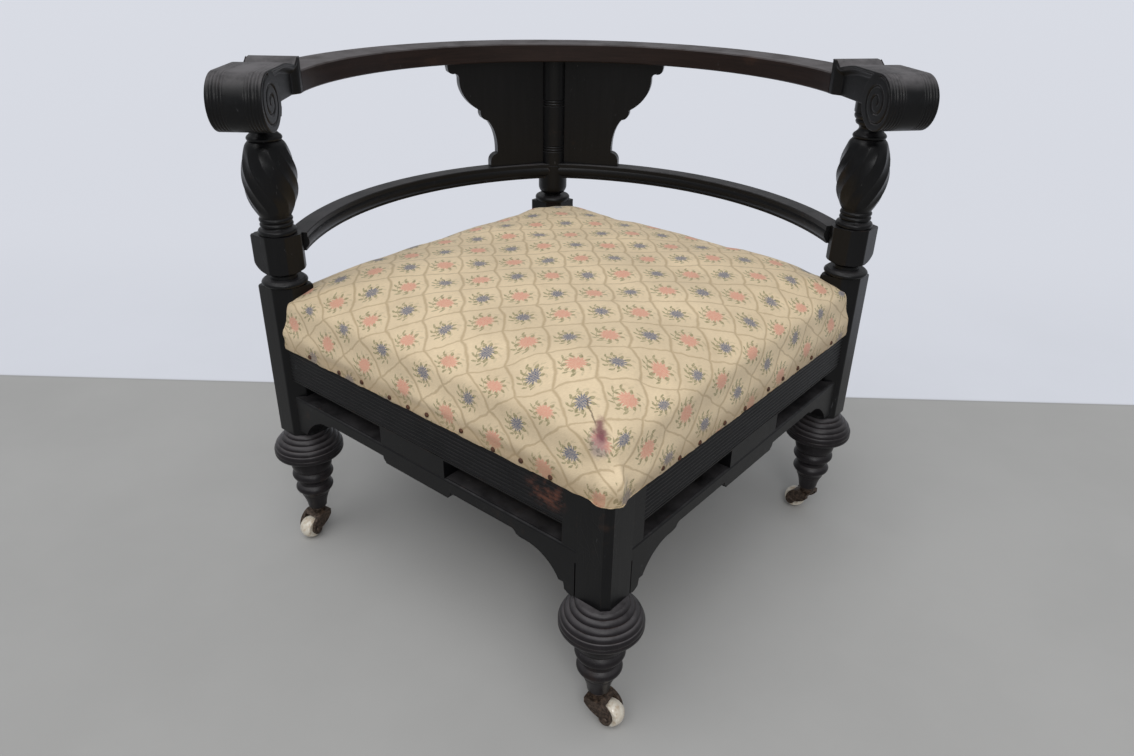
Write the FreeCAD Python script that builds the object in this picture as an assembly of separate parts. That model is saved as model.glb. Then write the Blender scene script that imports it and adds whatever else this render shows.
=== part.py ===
import FreeCAD
import Part
import math
import os

os.makedirs("parts", exist_ok=True)

V = FreeCAD.Vector
UP = V(0, 0, 1)

# All sizes are in millimetres. The chair stands on the floor at Z = 0, one corner to the front (-Y).

# Seat square: every post axis is this far from the middle of the seat
seat_half_diagonal = 360.0
rail_face = 18.0
seat_rail_thickness = 30.0
apron_thickness = 34.0

# Posts
side_post_stock = 48.0
side_post_front_chamfer = 17.0
front_post_stock = 40.0
front_post_chamfer = 7.0
tenon_length = 12.0
tenon_thickness = 10.0
tenon_shoulder = 12.0

# Heights, each from the one below
foot_height = 128.0
apron_lift = 43.5
apron_depth = 16.3
slot_height = 23.8
seat_rail_depth = 70.4
post_block_height = 209.0
neck_height = 31.0
upper_block_height = 34.0
baluster_height = 155.0
arm_thickness = 25.0
scroll_rise = 15.0
arm_dowel_radius = 9.0
arm_dowel_length = 18.0
column_radius = 21.3
column_neck = 13.0
neck_bead = 9.0
bowl_foot = 16.5

# Front rail divisions, measured along the rail from the axis of the front post
reed_start = 40.0
slot_start = 40.7
centre_block_start = 212.6
centre_block_end = 322.0
tablet_start = 204.5
tablet_end = 320.0
tablet_drop = 8.5
reed_pitch = 5.0
reed_count = 8
reed_relief = 1.5

# Brackets under the front rails
front_bracket_run = 86.5
front_bracket_drop = 45.0
side_bracket_run = 76.0
side_bracket_drop = 36.0
bracket_thickness = 22.0
bracket_slit = 1.5

# Turned feet
foot_ball_radius = 45.4
foot_spigot_radius = 11.0
foot_spigot_length = 24.0

# Casters
wheel_radius = 15.5
wheel_width = 18.6
wheel_side_gap = 0.6
cheek_thickness = 4.6
caster_trail = 17.0
axle_radius = 2.5
pintle_radius = 4.0
running_clearance = 0.06
wheel_crown_gap = 2.0
crown_thickness = 3.4
caster_neck_height = 7.6
swivel_gap = 0.4
stem_radius = 6.4
stem_length = 34.0
axle_boss_radius = 7.2

# Arms and back
arm_width = 59.0
arm_inset_side = 7.0
arm_inset_back = 12.0
arm_centre_y = 2.0
arm_joint_y = 54.0
scroll_splay = 5.5
scroll_radius = 31.5
scroll_reach = 116.0
scroll_dip = 6.5
lower_rail_width = 26.0
lower_rail_depth = 23.0
lower_rail_bow = 86.0
lower_rail_lift = 9.0
splat_angle = 17.0
splat_thickness = 15.0
splat_top_reach = 169.6
splat_waist = 95.3
splat_foot_reach = 106.7

# Upholstery
cover_thickness = 3.0
cover_drop = 26.0
cover_swell = 2.2
cushion_edge = 52.0
cushion_crown = 26.0
cushion_shoulder = 13.0
side_steps = 4
crown_steps = 8
crown_turn = 76.0
cushion_corner = 26.0
cover_hem_corner = 12.0
soft_clearance = 0.4
web_width = 50.0
web_thickness = 1.2
web_count = 5
cloth_thickness = 1.0
corner_block_leg = 72.0
corner_block_depth = 40.0

# Levels and lengths that follow
side_length = seat_half_diagonal * math.sqrt(2)
crown_bottom = 2 * wheel_radius + wheel_crown_gap
crown_top = crown_bottom + crown_thickness
foot_end = crown_top + caster_neck_height
post_bottom = foot_end + foot_height
apron_bottom = post_bottom + apron_lift
slot_bottom = apron_bottom + apron_depth
seat_rail_bottom = slot_bottom + slot_height
seat_rail_top = seat_rail_bottom + seat_rail_depth
post_block_top = post_bottom + post_block_height
upper_block_bottom = post_block_top + neck_height
upper_block_top = upper_block_bottom + upper_block_height
arm_bottom = upper_block_top + baluster_height
arm_top = arm_bottom + arm_thickness
scroll_top = arm_top + scroll_rise
post_half = side_post_stock / 2
front_post_inner = front_post_stock - rail_face
rail_inner = seat_rail_thickness - rail_face
front_axis = V(0, -seat_half_diagonal, 0)
back_axis = V(0, seat_half_diagonal, 0)
right_axis = V(seat_half_diagonal, 0, 0)
left_axis = V(-seat_half_diagonal, 0, 0)


def save(name, shape):
    """Write one sub-part."""
    shape.exportStep("parts/" + name + ".step")


def box(x0, x1, y0, y1, z0, z1):
    """A box between two corners."""
    return Part.makeBox(x1 - x0, y1 - y0, z1 - z0, V(x0, y0, z0))


def cylinder(radius, z0, z1, x=0.0, y=0.0):
    """An upright cylinder."""
    return Part.makeCylinder(radius, z1 - z0, V(x, y, z0))


def moved(shape, offset):
    """A copy shifted by a vector."""
    copy = shape.copy()
    copy.translate(offset)
    return copy


def turned(shape, degrees, about=V(0, 0, 0)):
    """A copy turned round an upright axis."""
    copy = shape.copy()
    copy.rotate(about, UP, degrees)
    return copy


def mirrored(shape):
    """The left-hand twin of a right-hand piece."""
    return shape.mirror(V(0, 0, 0), V(1, 0, 0))


def front_right(shape):
    """From rail coordinates (X along, Y inward, from the front post axis) to the right front side."""
    return moved(turned(shape, 45), front_axis)


def back_right(shape):
    """From rail coordinates (X along, Y outward, from the back post axis) to the right back side."""
    return moved(turned(shape, -45), back_axis)


def prism(points, direction):
    """A straight-sided solid on a polygon."""
    outline = Part.makePolygon(points + [points[0]])
    return Part.Face(outline).extrude(direction)


class Profile:
    """An outline drawn step by step as (across, up), in lines and round stretches."""

    def __init__(self, across, up):
        self.start = (across, up)
        self.at = (across, up)
        self.edges = []

    def point(self, pair):
        return V(pair[0], 0, pair[1])

    def line(self, across, up):
        self.edges.append(Part.LineSegment(self.point(self.at), self.point((across, up))).toShape())
        self.at = (across, up)
        return self

    def step(self, across, rise):
        return self.line(across, self.at[1] + rise)

    def arc(self, across, up, bulge):
        """A round stretch that bulges to the right of its travel by the given height."""
        dx = across - self.at[0]
        dz = up - self.at[1]
        length = math.hypot(dx, dz)
        mid = (self.at[0] + dx / 2 + bulge * dz / length, self.at[1] + dz / 2 - bulge * dx / length)
        ends = (self.point(self.at), self.point(mid), self.point((across, up)))
        self.edges.append(Part.Arc(*ends).toShape())
        self.at = (across, up)
        return self

    def bead(self, height, bulge):
        return self.arc(self.at[0], self.at[1] + height, bulge)

    def swell(self, across, rise):
        """A quarter of a rounded body, upright where it is widest."""
        reach = abs(across - self.at[0])
        radius = (reach ** 2 + rise ** 2) / (2 * reach)
        growing = across > self.at[0]
        wide = max(across, self.at[0])
        level = self.at[1] + rise if growing else self.at[1]
        half = math.atan2(rise, radius - reach) / 2
        sign = -1 if growing else 1
        mid = (wide - radius + radius * math.cos(half), level + sign * radius * math.sin(half))
        end = (across, self.at[1] + rise)
        self.edges.append(Part.Arc(self.point(self.at), self.point(mid), self.point(end)).toShape())
        self.at = end
        return self

    def curve(self, points):
        """A smooth curve on from the last point."""
        spline = Part.BSplineCurve()
        spline.interpolate([self.point(self.at)] + [self.point(p) for p in points])
        self.edges.append(spline.toShape())
        self.at = points[-1]
        return self

    def face(self):
        if self.at != self.start:
            self.line(*self.start)
        return Part.Face(Part.Wire(self.edges))

    def lathe(self):
        """Turn the outline round the upright axis."""
        bottom = self.start[1]
        self.line(0, self.at[1])
        self.line(0, bottom)
        return self.face().revolve(V(0, 0, 0), UP, 360)


def section(stock, front, outer=0.0, back=0.0, inner=0.0, grow=0.0):
    """A square post section with its corners to -Y, +X, +Y and -X, each cut by its own leg."""
    size = stock + 2 * grow
    points = []
    for quarter, leg in enumerate((front, outer, back, inner)):
        reach = size / math.sqrt(2)
        cut = max(leg, 0.0) / math.sqrt(2)
        angle = math.radians(90 * quarter - 90)
        along = V(math.cos(angle), math.sin(angle), 0)
        across = V(-math.sin(angle), math.cos(angle), 0)
        if cut == 0:
            points.append(along * reach)
        else:
            points.append(along * (reach - cut) - across * cut)
            points.append(along * (reach - cut) + across * cut)
    return points


def post_block(stock, bottom, top, front, inner=0.0, grow=0.0):
    """A square length of post with its corner to the front cut off."""
    points = [p + V(0, 0, bottom) for p in section(stock, front, 0, 0, inner, grow)]
    return prism(points, V(0, 0, top - bottom))


def side_block(grow=0.0):
    """The square seat block of a side or back post, on its own axis."""
    return post_block(side_post_stock, post_bottom, post_block_top, side_post_front_chamfer, 0, grow)


def upper_block(front, inner):
    """The small square block that takes the lower back rails."""
    return post_block(side_post_stock, upper_block_bottom, upper_block_top, front, inner)


def rail_tenon(face, length, bottom, top):
    """A stub tenon that runs along X from a shoulder."""
    half = tenon_thickness / 2
    low = min(face, face + length)
    high = max(face, face + length)
    return box(low, high, -half, half, bottom + tenon_shoulder, top - tenon_shoulder)


def foot(axis):
    """A turned foot: taper, two beads and a ringed ball, with a spigot up into its post."""
    waist = post_bottom - 61.5
    widest = post_bottom - 30
    p = Profile(12.5, foot_end)
    p.arc(17.5, foot_end + 22, -1.0)
    p.line(18.5, foot_end + 23)
    p.arc(20.5, foot_end + 28, -1.2)
    p.bead(14.5, 4.6)
    p.arc(23.0, waist - 17, -1.5)
    p.bead(15.0, 4.6)
    p.line(26.0, waist)
    p.arc(foot_ball_radius - 6.0, widest - 17.5, 1.4)
    p.arc(foot_ball_radius - 1.6, widest - 9, 0.9)
    p.arc(foot_ball_radius, widest, 0.9)
    p.arc(foot_ball_radius - 1.6, widest + 7, 0.9)
    p.arc(foot_ball_radius - 5.8, widest + 13.4, 0.9)
    p.arc(foot_ball_radius - 11.4, widest + 19.4, 0.9)
    p.arc(foot_ball_radius - 16.6, widest + 25, 0.9)
    p.line(foot_ball_radius - 21.6, post_bottom)
    p.line(foot_spigot_radius, post_bottom)
    p.step(foot_spigot_radius, foot_spigot_length)
    solid = p.lathe()
    stem = cylinder(stem_radius, foot_end - 1, foot_end + stem_length)
    return moved(solid.cut(stem), axis)


def foot_socket(axis):
    """The hole in a post that takes the spigot of its foot."""
    return cylinder(foot_spigot_radius, post_bottom, post_bottom + foot_spigot_length, axis.x, axis.y)


def neck():
    """The bead on top of the seat block."""
    p = Profile(post_half, post_block_top)
    p.bead(neck_bead, 4.0)
    return p.lathe()


def bowl(front, inner):
    """The turned bowl that rounds off the small block below."""
    p = Profile(bowl_foot, post_block_top + neck_bead - 1)
    p.line(bowl_foot, post_block_top + neck_bead + 1.5)
    p.arc(0.72 * side_post_stock, upper_block_bottom, 4.5)
    stock = post_block(side_post_stock, post_block_top, upper_block_bottom, front, inner)
    return p.lathe().common(stock)


def side_baluster():
    """The vase-shaped turning that carries an arm."""
    base = upper_block_top
    p = Profile(22.4, base)
    p.bead(4, 1.0)
    p.arc(18.1, base + 7.6, -1.0)
    p.bead(7.6, 1.6)
    p.line(18.4, base + 16)
    p.bead(7.0, 1.6)
    p.line(19.6, base + 25)
    shoulder = baluster_height - 88
    p.curve([(26.2, base + 0.55 * shoulder), (30.4, base + 0.79 * shoulder), (31.7, base + shoulder)])
    p.curve([(29.6, base + shoulder + 18), (22.4, base + shoulder + 41), (18.4, base + shoulder + 45)])
    p.bead(5.5, 1.6)
    p.arc(14.0, base + shoulder + 55, -0.8)
    p.arc(18.0, base + shoulder + 60, 0.8)
    p.bead(6, 1.2)
    p.line(20.5, base + shoulder + 67)
    p.bead(7, 1.2)
    p.line(22.4, base + shoulder + 75)
    p.line(22.4, arm_bottom)
    p.line(arm_dowel_radius, arm_bottom)
    p.step(arm_dowel_radius, arm_dowel_length)
    return p.lathe()


def back_column():
    """The plain column between the splats, with two pairs of rings, ending below in a round drop."""
    radius = column_radius
    p = Profile(post_half, post_block_top)
    p.bead(neck_bead, 4.0)
    p.line(column_neck, post_block_top + neck_bead)
    p.line(column_neck, post_block_top + neck_bead + 2)
    p.arc(radius + 1.4, post_block_top + 24, 2.6)
    p.line(radius + 1.4, upper_block_top - 6)
    p.line(radius, upper_block_top - 5)
    for ring in (baluster_height - 139, baluster_height - 69):
        p.line(radius, upper_block_top + ring)
        p.line(radius - 1, upper_block_top + ring + 1)
        p.bead(4, 1.0)
        p.bead(4, 1.0)
        p.line(radius, upper_block_top + ring + 10)
    p.line(radius, arm_bottom)
    p.line(arm_dowel_radius, arm_bottom)
    p.step(arm_dowel_radius, arm_thickness - 7)
    return p.lathe()


def right_post():
    """The right side post on its own axis, from foot to arm."""
    solid = side_block().fuse([neck(), bowl(15.6, 9.0), upper_block(15.6, 9.0), side_baluster()]).removeSplitter()
    return moved(solid, right_axis)


def back_post():
    """The back post, from foot to top rail."""
    solid = post_block(side_post_stock, post_bottom, post_block_top, side_post_front_chamfer)
    solid = solid.fuse(back_column()).removeSplitter()
    return moved(solid, back_axis)


def front_post():
    """The short front post, flush with the outside of the front rails."""
    square = box(-rail_face, front_post_inner, -rail_face, front_post_inner, post_bottom, seat_rail_top)
    leg = front_post_chamfer
    corner = V(-rail_face, -rail_face, post_bottom)
    wedge = prism([corner - V(1, 1, 0), corner + V(leg + 1, -1, 0), corner + V(-1, leg + 1, 0)],
                  V(0, 0, seat_rail_top))
    return front_right(square.cut(wedge))


def right_post_prism(bottom, top, grow=0.0):
    """The space that the right post takes between two heights."""
    return moved(post_block(side_post_stock, bottom, top, side_post_front_chamfer, 0, grow), right_axis)


def back_post_prism(bottom, top, grow=0.0):
    """The space that the back post takes between two heights."""
    return moved(post_block(side_post_stock, bottom, top, side_post_front_chamfer, 0, grow), back_axis)


def front_rail_end():
    """How far the face of a front rail runs before it meets the cut corner of the side post."""
    return side_length - post_half + rail_face - (post_half - side_post_front_chamfer)


def front_rail():
    """Right front seat rail, reeded along its face, with a stub tenon at each end."""
    bottom = seat_rail_bottom
    top = seat_rail_top
    end = front_rail_end()
    margin = box(front_post_inner, reed_start, -rail_face, rail_inner, bottom, top)
    p = Profile(rail_inner, bottom)
    p.line(-rail_face, bottom)
    p.line(-rail_face, bottom + 1.5)
    p.line(-rail_face + reed_relief, bottom + 1.5)
    for number in range(reed_count):
        p.bead(reed_pitch, -reed_relief)
    p.line(-rail_face + reed_relief, top)
    p.line(rail_inner, top)
    reeded = moved(turned(p.face(), 90), V(reed_start, 0, 0)).extrude(V(end - reed_start, 0, 0))
    rail = front_right(margin.fuse(reeded)).cut(right_post_prism(bottom - 1, top + 1))
    tenons = front_rail_tenons(bottom, top)
    return rail.fuse(tenons).removeSplitter()


def front_rail_tenons(bottom, top):
    """The two tenons of a rail on the right front side."""
    near = rail_tenon(front_post_inner, -tenon_length, bottom, top)
    far = rail_tenon(side_length - post_half, tenon_length, bottom, top)
    return [front_right(near), front_right(far)]


def back_rail():
    """Right back seat rail, plain."""
    body = box(post_half - 1, side_length - post_half + 1, -rail_inner, rail_face,
               slot_bottom, seat_rail_top)
    rail = back_right(body)
    rail = rail.cut(right_post_prism(slot_bottom - 1, seat_rail_top + 1))
    rail = rail.cut(back_post_prism(slot_bottom - 1, seat_rail_top + 1))
    return rail.fuse(back_rail_tenons()).removeSplitter()


def back_rail_tenons():
    """The two tenons of the right back rail."""
    near = rail_tenon(post_half, -tenon_length, slot_bottom, seat_rail_top)
    far = rail_tenon(side_length - post_half, tenon_length, slot_bottom, seat_rail_top)
    return [back_right(near), back_right(far)]


def apron():
    """Right lower front rail: moulded top edge and a dropped tablet in the middle."""
    end = front_rail_end()
    back = apron_thickness - rail_face
    p = Profile(back, apron_bottom)
    p.line(-rail_face, apron_bottom)
    p.line(-rail_face, slot_bottom - 4.2)
    p.arc(-rail_face + 2.6, slot_bottom - 1.0, -0.9)
    p.line(-rail_face + 2.6, slot_bottom)
    p.line(back, slot_bottom)
    bar = moved(turned(p.face(), 90), V(front_post_inner, 0, 0)).extrude(V(end - front_post_inner, 0, 0))
    t = Profile(tablet_start, apron_bottom)
    t.arc(tablet_start + 4, apron_bottom - tablet_drop + 2, 1.4)
    t.line(tablet_start + 4, apron_bottom - tablet_drop)
    t.line(tablet_end - 4, apron_bottom - tablet_drop)
    t.line(tablet_end - 4, apron_bottom - tablet_drop + 2)
    t.arc(tablet_end, apron_bottom, 1.4)
    tablet = moved(t.face(), V(0, -rail_face, 0)).extrude(V(0, bracket_thickness, 0))
    piece = front_right(bar.fuse(tablet)).cut(right_post_prism(apron_bottom - 1, slot_bottom + 1))
    return piece.removeSplitter()


def centre_block():
    """The plain block between the two slots of a front side."""
    block = box(centre_block_start, centre_block_end, -rail_face, rail_inner,
                slot_bottom, seat_rail_bottom)
    return front_right(block)


def end_stile():
    """The short block that closes the slot beside the front post."""
    return front_right(box(front_post_inner, slot_start, -rail_face, rail_inner,
                           slot_bottom, seat_rail_bottom))


def front_bracket():
    """The shaped bracket beside the front post."""
    start = front_post_inner + bracket_slit
    top = apron_bottom
    end = start + front_bracket_run
    foot_level = top - front_bracket_drop
    p = Profile(start, top)
    p.line(start, foot_level + 1.5)
    p.line(start + 4.5, foot_level)
    p.arc(start + 13, foot_level + 4, 0.8)
    p.line(start + 14.4, foot_level + 12)
    p.line(start + 21, foot_level + 12)
    p.arc(end - 18, top - 6.5, -7.5)
    p.arc(end - 6, top - 5.0, 0.6)
    p.arc(end, top, -1.1)
    return front_right(moved(p.face(), V(0, -rail_face, 0)).extrude(V(0, bracket_thickness, 0)))


def side_bracket():
    """The smaller bracket beside the side post."""
    top = apron_bottom
    end = front_rail_end()
    start = end - side_bracket_run
    foot_level = top - side_bracket_drop
    p = Profile(start, top)
    p.arc(start + 5, top - 3.5, -0.7)
    p.line(start + 22, top - 4.5)
    p.arc(end - 16, foot_level, -5.0)
    p.line(end, foot_level)
    p.line(end, top)
    bracket = moved(p.face(), V(0, -rail_face, 0)).extrude(V(0, bracket_thickness, 0))
    return front_right(bracket).cut(right_post_prism(foot_level - 1, top + 1))


def corner_blocks():
    """Glued blocks in the four inner corners of the seat frame."""
    reach = seat_half_diagonal - rail_inner * math.sqrt(2)
    leg = corner_block_leg / math.sqrt(2)
    low = seat_rail_top - corner_block_depth
    wedge = prism([V(reach, 0, low), V(reach - leg, leg, low), V(reach - leg, -leg, low)],
                  V(0, 0, corner_block_depth - 2))
    posts = [right_post_prism(low - 1, seat_rail_top + 1), back_post_prism(low - 1, seat_rail_top + 1)]
    posts += [mirrored(posts[0]), front_post()]
    blocks = [turned(wedge, angle).cut(post) for angle, post in zip((0, 90, 180, 270), posts)]
    return Part.makeCompound(blocks)


def arm_centre():
    """Centre and radius of the right half of the top rail."""
    radius = seat_half_diagonal - arm_inset_back - arm_centre_y
    across = seat_half_diagonal - arm_inset_side - radius
    return V(across, arm_centre_y, 0), radius


def scroll_place(shape):
    """From scroll block coordinates (Y back from the joint) to the right arm."""
    centre, radius = arm_centre()
    drop = arm_joint_y - arm_centre_y
    joint = V(centre.x + math.sqrt(radius ** 2 - drop ** 2), arm_joint_y, 0)
    return moved(turned(shape, scroll_splay), joint)


def arm_scroll():
    """The thick scrolled block at the front of the right arm."""
    centre = scroll_top - scroll_radius
    low = arm_bottom - centre
    back = math.sqrt(scroll_radius ** 2 - low ** 2)
    p = Profile(0, arm_bottom)
    p.line(0, scroll_top)
    p.line(-7, scroll_top)
    p.arc(-14, scroll_top - scroll_dip / 2, -1.3)
    p.arc(-21, scroll_top - scroll_dip, 1.3)
    p.arc(-scroll_reach + 28, scroll_top, 3.0)
    p.line(-scroll_reach, scroll_top)
    for end in (math.radians(180), math.radians(270)):
        mid = end - math.radians(45)
        here = p.point(p.at)
        half = V(-scroll_reach + scroll_radius * math.cos(mid), 0, centre + scroll_radius * math.sin(mid))
        stop = (-scroll_reach + scroll_radius * math.cos(end), centre + scroll_radius * math.sin(end))
        p.edges.append(Part.Arc(here, half, p.point(stop)).toShape())
        p.at = stop
    rise = math.atan2(low, back)
    mid = (math.radians(-90) + rise) / 2
    here = p.point(p.at)
    half = V(-scroll_reach + scroll_radius * math.cos(mid), 0, centre + scroll_radius * math.sin(mid))
    stop = (-scroll_reach + back, arm_bottom)
    p.edges.append(Part.Arc(here, half, p.point(stop)).toShape())
    p.at = stop
    face = turned(p.face(), 90)
    block = moved(face, V(-arm_width / 2, 0, 0)).extrude(V(arm_width, 0, 0))
    socket = cylinder(arm_dowel_radius, arm_bottom - 1, arm_bottom + arm_dowel_length,
                      seat_half_diagonal, 0)
    return scroll_place(block).cut(socket)


def top_rail():
    """The right half of the curved top rail, butted at the back."""
    centre, radius = arm_centre()
    half = arm_width / 2
    p = Profile(radius - half, arm_bottom + 1.5)
    p.line(radius - half, arm_top - 1.5)
    p.line(radius - half + 1.5, arm_top)
    p.line(radius + half - 3, arm_top)
    p.arc(radius + half, arm_top - 3, -0.88)
    p.line(radius + half, arm_bottom + 1.5)
    p.line(radius + half - 1.5, arm_bottom)
    p.line(radius - half + 1.5, arm_bottom)
    ring = moved(p.face().revolve(V(0, 0, 0), UP, 360), centre)
    reach = seat_half_diagonal * 2
    ring = ring.common(box(0, reach, 0, reach, arm_bottom - 1, arm_top + 1))
    ahead = scroll_place(box(-reach, reach, -reach, 0, arm_bottom - 2, arm_top + 2))
    socket = cylinder(arm_dowel_radius, arm_bottom - 1, arm_bottom + arm_thickness - 7,
                      0, seat_half_diagonal)
    return ring.cut(ahead).cut(socket)


def lower_rail():
    """The right half of the lower back rail, hollowed along its inner face."""
    p1 = V(0, seat_half_diagonal - 6.5, 0)
    p2 = V(seat_half_diagonal - 20, 9, 0)
    chord = p2 - p1
    radius = ((chord.Length / 2) ** 2 + lower_rail_bow ** 2) / (2 * lower_rail_bow)
    inward = V(chord.y, -chord.x, 0) / chord.Length
    centre = (p1 + p2) / 2 + inward * (radius - lower_rail_bow)
    low = upper_block_bottom + lower_rail_lift
    high = low + lower_rail_depth
    half = lower_rail_width / 2
    p = Profile(radius - half + 3, low)
    p.line(radius - half + 3, low + 3)
    p.arc(radius - half, high - 6, -3.0)
    p.line(radius - half, high - 1)
    p.line(radius - half + 1, high)
    p.line(radius + half - 2, high)
    p.line(radius + half, high - 2)
    p.line(radius + half, low)
    ring = moved(p.face().revolve(V(0, 0, 0), UP, 360), centre)
    reach = seat_half_diagonal * 2
    rail = ring.common(box(0, reach, 7, reach, low - 1, high + 1))
    side = moved(upper_block(15.6, 9.0), right_axis)
    return rail.cut(side).cut(moved(back_column(), back_axis))


def splat():
    """The right half of the shaped back splat, beside the column."""
    low = upper_block_bottom + lower_rail_lift + lower_rail_depth
    high = arm_bottom
    top = splat_top_reach
    waist = splat_waist
    p = Profile(0, low)
    p.line(splat_foot_reach, low)
    p.line(splat_foot_reach, low + 8)
    p.arc(waist, low + 21, 3.2)
    p.curve([(waist + 0.7, low + 38), (waist + 5.2, low + 56), (waist + 15.2, low + 72)])
    p.arc(waist + 24, low + 77, 1.2)
    p.arc(waist + 25.7, high - 70.5, 0.9)
    p.curve([(top - 30.6, high - 57), (top - 20.3, high - 41.3), (top - 17.1, high - 23)])
    p.arc(top - 11.1, high - 15.5, -1.8)
    p.arc(top - 1.2, high - 12, 1.8)
    p.line(top, high - 6)
    p.line(top, high)
    p.line(0, high)
    board = moved(p.face(), V(0, -splat_thickness / 2, 0)).extrude(V(0, splat_thickness, 0))
    board = moved(turned(board, -splat_angle), back_axis)
    half_space = box(0, seat_half_diagonal, 0, 2 * seat_half_diagonal, low - 1, high + 1)
    return board.common(half_space).cut(moved(back_column(), back_axis))


def rounded_square(reach, radius, level):
    """A closed outline with rounded corners, its sides along the rails."""
    flat = reach - radius
    edges = []
    for quarter in range(4):
        angle = 90 * quarter
        turn = FreeCAD.Rotation(UP, angle)
        near = turn.multVec(V(flat, -reach, level))
        centre = V(flat, -flat, level)
        mid = turn.multVec(centre + V(radius, -radius, 0) / math.sqrt(2))
        far = turn.multVec(V(reach, -flat, level))
        after = turn.multVec(V(reach, flat, level))
        edges.append(Part.Arc(near, mid, far).toShape())
        edges.append(Part.LineSegment(far, after).toShape())
    return Part.Wire(edges)


def cushion_form(inset, bottom):
    """The upholstered shape: drawn in at the lower edge, full at the side, crowned on top."""
    half = side_length / 2 + rail_face + cover_thickness + 0.5 - inset
    edge = seat_rail_top - cover_drop
    shoulder = seat_rail_top + cushion_edge - cushion_shoulder - inset / 2
    height = cushion_shoulder + cushion_crown - inset / 2
    levels = [(bottom, half, cover_hem_corner)] if bottom < edge else []
    for step in range(side_steps):
        share = step / side_steps
        corner = cover_hem_corner + (cushion_corner - cover_hem_corner) * share
        reach = half + cover_swell * math.sin(math.pi * share)
        levels.append((edge + (shoulder - edge) * share, reach, corner))
    for step in range(crown_steps + 1):
        angle = math.radians(crown_turn * step / crown_steps)
        rise = height * math.sin(angle) / math.sin(math.radians(crown_turn))
        reach = half * math.cos(angle)
        levels.append((shoulder + rise, reach, cushion_corner + (half - reach) * 0.2))
    wires = [rounded_square(reach, corner, level) for level, reach, corner in levels]
    return turned(Part.makeLoft(wires, True, True), 45)


def post_room():
    """What the upholstery is cut back from at the side and back posts."""
    gap = soft_clearance
    low = seat_rail_bottom
    high = upper_block_top
    room = []
    for axis in (right_axis, back_axis, left_axis):
        room.append(moved(post_block(side_post_stock, low, high, side_post_front_chamfer, 0, gap), axis))
        room.append(cylinder(post_half + 4 + gap, post_block_top - 3, high, axis.x, axis.y))
    return room


def seat_cover():
    """The fabric cover, brought down over the rails and cut round the posts."""
    edge = seat_rail_top - cover_drop
    outer = cushion_form(0, edge)
    inner = cushion_form(cover_thickness, edge - 10)
    return outer.cut(inner).cut(post_room())


def seat_stuffing():
    """The stuffed pad under the cover."""
    base = seat_rail_top + 2 * web_thickness + cloth_thickness + 3 * soft_clearance
    form = cushion_form(cover_thickness + soft_clearance, seat_rail_top - cover_drop - 5)
    below = box(-600, 600, -600, 600, 0, base)
    return form.cut(below).cut(post_room())


def base_cloth():
    """The cloth over the webbing, fixed to the tops of the rails."""
    reach = side_length / 2 + rail_face - 6
    low = seat_rail_top + 2 * web_thickness + 2 * soft_clearance
    sheet = turned(box(-reach, reach, -reach, reach, low, low + cloth_thickness), 45)
    return sheet.cut(post_room())


def webbing(level, along):
    """One layer of straps across the seat frame."""
    reach = side_length / 2 + rail_face - 8
    straps = []
    for number in range(web_count):
        place = side_length * ((number + 1) / (web_count + 1) - 0.5)
        strap = box(-reach, reach, place - web_width / 2, place + web_width / 2,
                    level, level + web_thickness)
        straps.append(turned(strap, along))
    return Part.makeCompound(straps)


def caster_neck():
    """The iron socket at the foot, bored for the pintle."""
    bottom = crown_top + swivel_gap
    p = Profile(9.5, bottom)
    p.step(9.5, 2)
    p.arc(8.0, foot_end - 3, -1.0)
    p.line(10.5, foot_end - 2)
    p.line(10.5, foot_end)
    p.line(stem_radius, foot_end)
    p.step(stem_radius, stem_length)
    solid = p.lathe()
    return solid.cut(cylinder(pintle_radius + running_clearance, bottom - 1, foot_end + stem_length - 10))


def caster_fork():
    """The forked iron body with its pintle; the wheel trails along +X."""
    half = wheel_width / 2 + wheel_side_gap
    outside = half + cheek_thickness
    boss = axle_boss_radius
    p = Profile(-9.5, crown_top)
    p.line(-9.5, crown_bottom - 4)
    p.arc(caster_trail - boss, wheel_radius, 2.0)
    here = p.point(p.at)
    stop = (caster_trail + boss, wheel_radius)
    p.edges.append(Part.Arc(here, V(caster_trail, 0, wheel_radius - boss), p.point(stop)).toShape())
    p.at = stop
    p.arc(8, crown_top, 4.5)
    body = moved(p.face(), V(0, -outside, 0)).extrude(V(0, 2 * outside, 0))
    body = body.cut(box(-30, 60, -half, half, 0, crown_bottom))
    hole = Part.makeCylinder(axle_radius, 4 * outside, V(caster_trail, -2 * outside, wheel_radius), V(0, 1, 0))
    pintle = cylinder(pintle_radius, crown_top - 1, foot_end + stem_length - 12)
    return body.cut(hole).fuse(pintle).removeSplitter()


def caster_axle():
    """The riveted axle through both cheeks."""
    outside = wheel_width / 2 + wheel_side_gap + cheek_thickness
    p = Profile(axle_radius, -outside)
    p.line(axle_radius, outside)
    p.line(4.2, outside)
    p.arc(0.8, outside + 1.6, 0.9)
    p.line(0, outside + 1.6)
    p.line(0, -outside - 1.6)
    p.line(0.8, -outside - 1.6)
    p.arc(4.2, -outside, 0.9)
    rivet = p.face().revolve(V(0, 0, 0), UP, 360)
    rivet.rotate(V(0, 0, 0), V(1, 0, 0), -90)
    return moved(rivet, V(caster_trail, 0, wheel_radius))


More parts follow.
